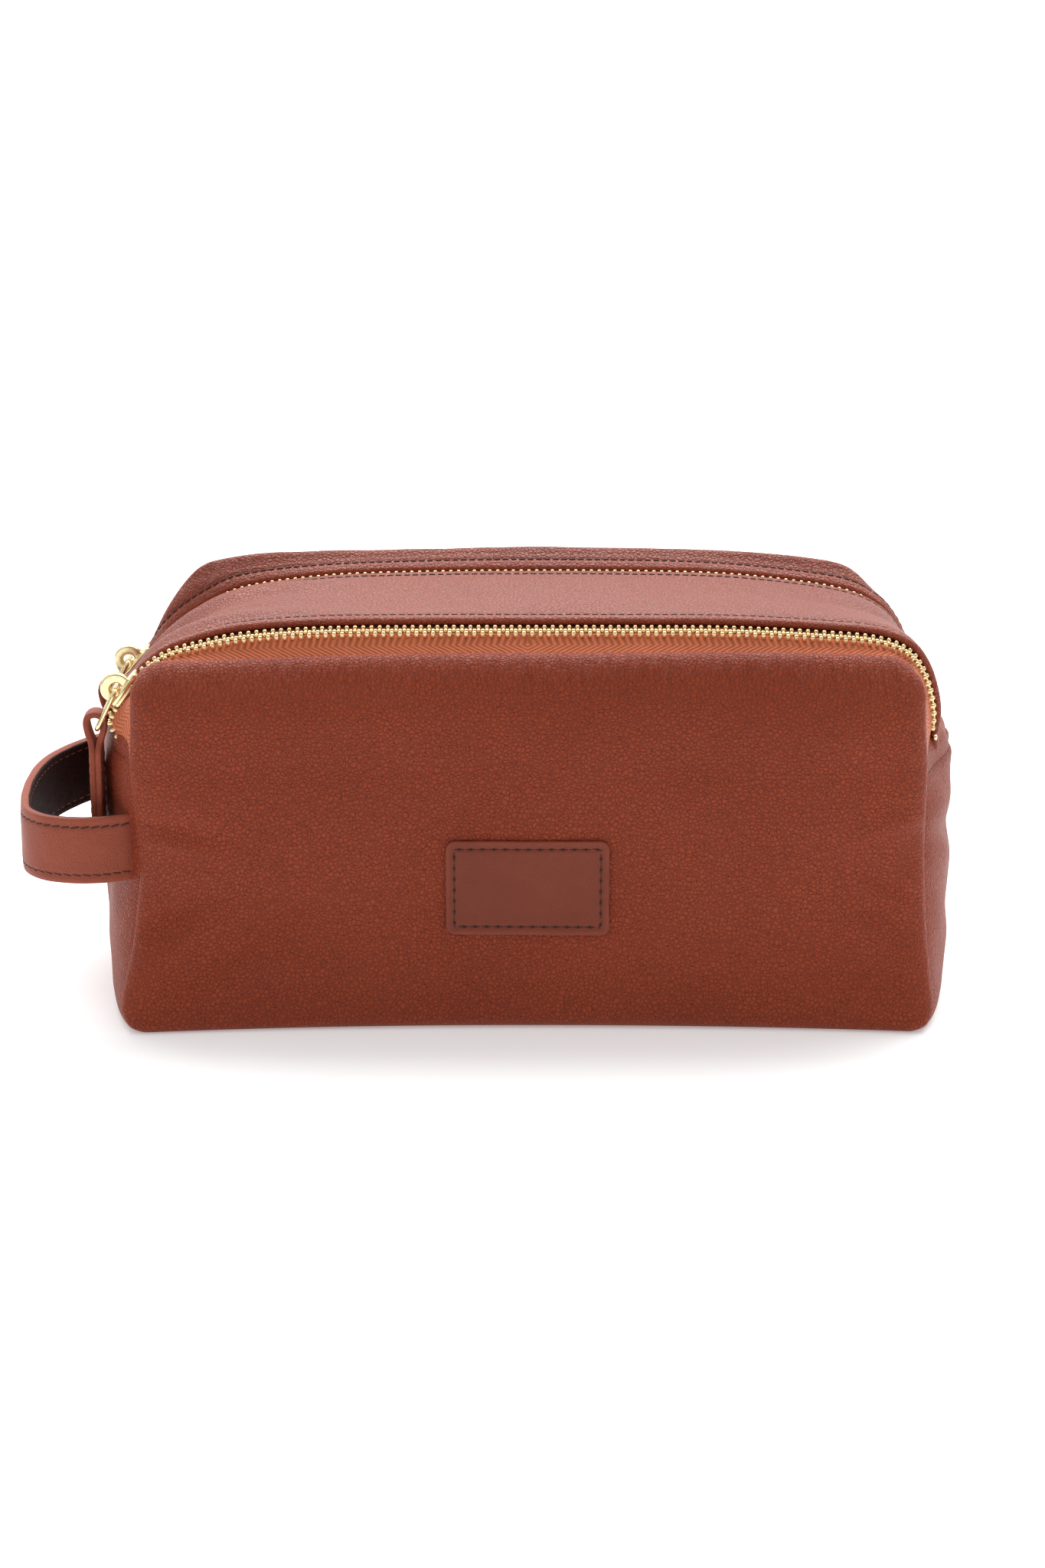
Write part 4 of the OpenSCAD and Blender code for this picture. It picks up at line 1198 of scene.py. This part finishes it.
def lofted_plate(outline, z0, z1, r, dome=0.0):
    """Plate with rounded rims between heights z0 and z1 from an outline of x, y points."""
    o = np.asarray(outline, float)
    cx = o.mean(0)
    v, f = [], []
    lay = []
    for a in np.linspace(-90, 90, 9):
        k = r * (1 - math.cos(a * RAD))
        zz = (z0 + r if a < 0 else z1 - r) + r * math.sin(a * RAD)
        lay.append((k, zz))
    lay = [(r + 0.6, z0)] + lay + [(r + 0.6, z1 + dome * 0.4), (r + 1.6, z1 + dome)]
    d = o - cx
    ln = np.linalg.norm(d, axis=1, keepdims=True)
    for k, zz in lay:
        q = cx + d * np.maximum(0.02, (ln - k) / ln)
        v.append(np.concatenate([q, np.full((len(o), 1), zz)], 1))
    m = len(o)
    for i in range(len(lay) - 1):
        for j in range(m):
            f.append([i * m + j, i * m + (j + 1) % m, (i + 1) * m + (j + 1) % m, (i + 1) * m + j])
    f.append(list(range(m))[::-1])
    f.append([(len(lay) - 1) * m + j for j in range(m)])
    return np.concatenate(v), f


def slider_outline():
    base = [(-6.2, 0), (-6.1, 2.7), (-5.0, 4.2), (-2.4, 4.5), (0.2, 4.3), (3.4, 3.5), (5.6, 3.1), (6.2, 2.3), (6.3, 0)]
    pts = base + [(x, -y) for x, y in base[-2:0:-1]]
    q = np.array(pts + [pts[0]])
    n = len(q) - 1
    ext = np.concatenate([q[-2:-1], q, q[1:2]])
    out = []
    for i in range(n):
        a, b, c, d = ext[i], ext[i + 1], ext[i + 2], ext[i + 3]
        for t in np.linspace(0, 1, 5, endpoint=False):
            out.append(0.5 * (2 * b + (c - a) * t + (2 * a - 5 * b + 4 * c - d) * t * t + (3 * b - a - 3 * c + d) * t**3))
    return np.array(out)[::-1]


def ring_profile(r0, r1, half, r, seg=64):
    """Flat ring round the y axis with rounded edges."""
    prof = []
    for cx, cy, a0 in ((r1 - r, half - r, 0), (r0 + r, half - r, 90), (r0 + r, -half + r, 180), (r1 - r, -half + r, 270)):
        for g in np.linspace(0, 90, 6):
            prof.append((cx + r * math.cos((a0 + g) * RAD), cy + r * math.sin((a0 + g) * RAD)))
    m = len(prof)
    v, f = [], []
    for k in range(seg):
        a = 2 * math.pi * k / seg
        for rad, y in prof:
            v.append([rad * math.cos(a), y, rad * math.sin(a)])
    for k in range(seg):
        for j in range(m):
            f.append([k * m + j, k * m + (j + 1) % m, ((k + 1) % seg) * m + (j + 1) % m, ((k + 1) % seg) * m + j])
    return np.array(v), f


def rounded_rect_loop(w, h, r, n=10):
    pts = []
    for cx, cy, a0 in ((w - r, h - r, 0), (-w + r, h - r, 90), (-w + r, -h + r, 180), (w - r, -h + r, 270)):
        for g in np.linspace(0, 90, n):
            pts.append((cx + r * math.cos((a0 + g) * RAD), cy + r * math.sin((a0 + g) * RAD)))
    return Path(pts + [pts[0]])


RING_DIR = {"front": 244.2, "rear": 239.0}


def pull(nm, at, tilt, y0):
    out = slider_outline()
    parts = []
    top = lofted_plate(out, 1.0, 2.4, 0.5, 0.25)
    bot = lofted_plate(out, -2.5, -1.3, 0.45)
    wedge = lofted_plate([(-5.0 + 1.1 * math.cos(a), 0.85 * math.sin(a)) for a in np.linspace(0, 2 * np.pi, 20, endpoint=False)], -1.5, 1.3, 0.05)
    parts = [(place(v, at, tilt, y0), f) for v, f in (top, bot, wedge)]
    for s in (-1, 1):
        lip = rounded_block(8.4, 0.8, 1.6, 0.3)
        v = lip[0] + np.array([-0.9, -0.375, 0])
        v[:, 1] += s * (4.0 - 0.13 * (v[:, 0] + 4.6).clip(0))
        v[:, 2] += -0.15
        parts.append((place(v, at, tilt, y0), lip[1]))
        # raised rail on the top plate at each side of the arch
        rail = rounded_block(9.0, 0.8, 0.55, 0.4)
        v = rail[0] + np.array([0.0, s * 2.3 - 0.4, 2.05])
        parts.append((place(v, at, tilt, y0), rail[1]))
    o = batch(nm + "_slider_metal", parts, M_gold)
    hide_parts(nm + "_slider_body")
    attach(o, nm + "_slider")
    v, f = ring_profile(1.8, 4.7, 1.25, 0.55)
    v = v + np.array([-1.4, 0, 3.7])
    v[:, 2] = np.maximum(v[:, 2], 1.6)
    o = batch(nm + "_slider_arch", [(place(v, at, tilt, y0), f)], M_gold)
    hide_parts(nm + "_slider_bail")
    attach(o, nm + "_slider")
    # pull ring
    c, s = math.cos(tilt * RAD), math.sin(tilt * RAD)
    topc = np.array([at[0] - 1.4 * c - 3.7 * s, at[1] - 1.4 * s + 3.7 * c])
    d = np.array([math.cos(RING_DIR[nm] * RAD), math.sin(RING_DIR[nm] * RAD)])
    L = 13.3
    bar = topc + d * L
    mid = (topc + bar) / 2
    rr = rounded_rect_loop(4.2, L / 2, 1.9)
    pp = rr.at(np.linspace(0, rr.length, 120, endpoint=False))
    pts = np.stack([mid[0] - pp[:, 1] * d[0], y0 + pp[:, 0], mid[1] - pp[:, 1] * d[1]], -1)
    o = tube(nm + "_ring_wire", pts, 0.75, M_gold)
    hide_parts(nm + "_pull_ring")
    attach(o, nm + "_ring")
    # leather tab: down one side, round the bar, down the other
    ex, ez = bar[0] + (-0.7 if nm == "front" else 0.5), bar[1] + 1.1
    tip = bar[1] - 33
    path = [(ex + 0.76, tip), (ex + 0.76, tip + 8), (ex + 0.85, tip + 18), (ex + 0.85, ez - 8.5), (ex + 1.15, ez - 5.6), (ex + 2.1, ez - 2.6), (ex + 2.6, ez + 0.4),
            (ex + 2.0, ez + 2.4), (ex, ez + 3.2), (ex - 2.0, ez + 2.4), (ex - 2.6, ez + 0.4), (ex - 2.1, ez - 2.6), (ex - 1.15, ez - 5.6), (ex - 0.85, ez - 8.5),
            (ex - 0.85, tip + 18), (ex - 0.76, tip + 8), (ex - 0.76, tip)]
    P = Path(cr(path, np.linspace(0, 1, 700)))
    n, m = 220, 15
    l = np.linspace(0, P.length, n)
    q = P.at(l)
    t2 = P.tangent(l, 0.6)
    nn = np.stack([t2[:, 1], -t2[:, 0]], -1)
    if nn[20, 0] < 0:
        nn = -nn
    zz = q[:, 1]
    half = 3.05 + 1.95 * (1 - smooth(zz, bar[1] - 7.5, bar[1] - 3.0))
    endr = np.clip((zz - tip) / 4.0, 0, 1)
    half = half * np.where(endr < 1, np.sqrt(np.clip(1 - (1 - endr) ** 2, 0.04, 1)) * 0.55 + 0.45, 1)
    vv = np.linspace(-1, 1, m)
    G = np.zeros((n, m, 3))
    puff = 1.05 - 0.16 * np.abs(vv) ** 4
    G[..., 0] = q[:, None, 0] + nn[:, None, 0] * puff[None, :]
    G[..., 2] = q[:, None, 1] + nn[:, None, 1] * puff[None, :]
    G[..., 1] = y0 + vv[None, :] * half[:, None]
    fl = (normals(G)[30, 7, 0] < 0)
    o = shell(nm + "_tab_leather", G, 1.75, M_strap, flip=bool(fl), edge_w=1.4, rim=4, rim_out=0.3)
    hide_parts(nm + "_pull_tab")
    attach(o, nm + "_tab")
    for side, sel in (("outer", l > P.length / 2), ("inner", l < P.length / 2)):
        rows = []
        for sg in (-1, 1):
            idx = [i for i in range(n) if sel[i] and tip + 3 < zz[i] < ez - 9]
            pts = np.array([(G[i, 7, 0], y0 + sg * 3.6, zz[i]) for i in idx])
            nr = np.array([(nn[i, 0], 0, nn[i, 1]) for i in idx])
            pts = pts - nr * 0.05
            s_ = stitches(nm + "_tab_stitches_" + side + ("_a" if sg < 0 else "_b"), pts, nr, 3.0, 2.2, 0.22, M_thread, lift=0.0)
            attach(s_, nm + "_tab")


pull("front", (-118.4, 98.2), 53.3, -ZY)
pull("rear", (-121.4, 88.2), 47.1, ZY)

# ---------------------------------------------------------------- CAD nodes that stay
for node, mat in (("base_board", M_board), ("divider", M_lining), ("front_lining", M_lining), ("rear_lining", M_lining),
                  ("front_flap_lining", M_lining), ("rear_flap_lining", M_lining)):
    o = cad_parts[node]
    o.data.materials.clear()
    o.data.materials.append(mat)
for nm, path, y0 in (("front", FP, -ZY), ("rear", RP, ZY)):
    items = []
    for l in (0.7, path.length - 0.7):
        q = zpt(path, np.array([l]), y0, -0.7)[0]
        tx, tz = path.tangent(np.array([l]), 1.0)[0]
        v, f = rounded_block(1.6, 2.6, 1.4, 0.28)
        items.append((q + v[:, :1] * np.array([tx, 0, tz]) + (v[:, 1:2] - 1.3) * np.array([0, 1.0, 0]) + v[:, 2:] * np.array([-tz, 0, tx]), f))
    o = batch(nm + "_stop_clamps", items, M_gold)
    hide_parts(nm + "_zip_stops")
    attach(o, "bag")

# ---------------------------------------------------------------- floor
k = Mat("floor_paper")
co = k.n("ShaderNodeTexCoord").outputs["Object"]
nz = k.n("ShaderNodeTexNoise", inputs={"Scale": 3.0, "Detail": 3.0})
k.link(co, nz.inputs["Vector"])
k.link(k.mix(nz.outputs[0], (0.90, 0.90, 0.905), (0.93, 0.93, 0.935)), k.b.inputs["Base Color"])
k.b.inputs["Roughness"].default_value = 0.75
k.b.inputs["Specular IOR Level"].default_value = 0.2
k.b.inputs["Emission Color"].default_value = (1, 1, 1, 1)
k.b.inputs["Emission Strength"].default_value = 0.28
me = bpy.data.meshes.new("floor")
me.from_pydata([(-3, -3, 0), (3, -3, 0), (3, 1.1, 0), (-3, 1.1, 0)], [], [(0, 1, 2, 3)])
floor = bpy.data.objects.new("floor", me)
me.materials.append(k.m)
coll.objects.link(floor)
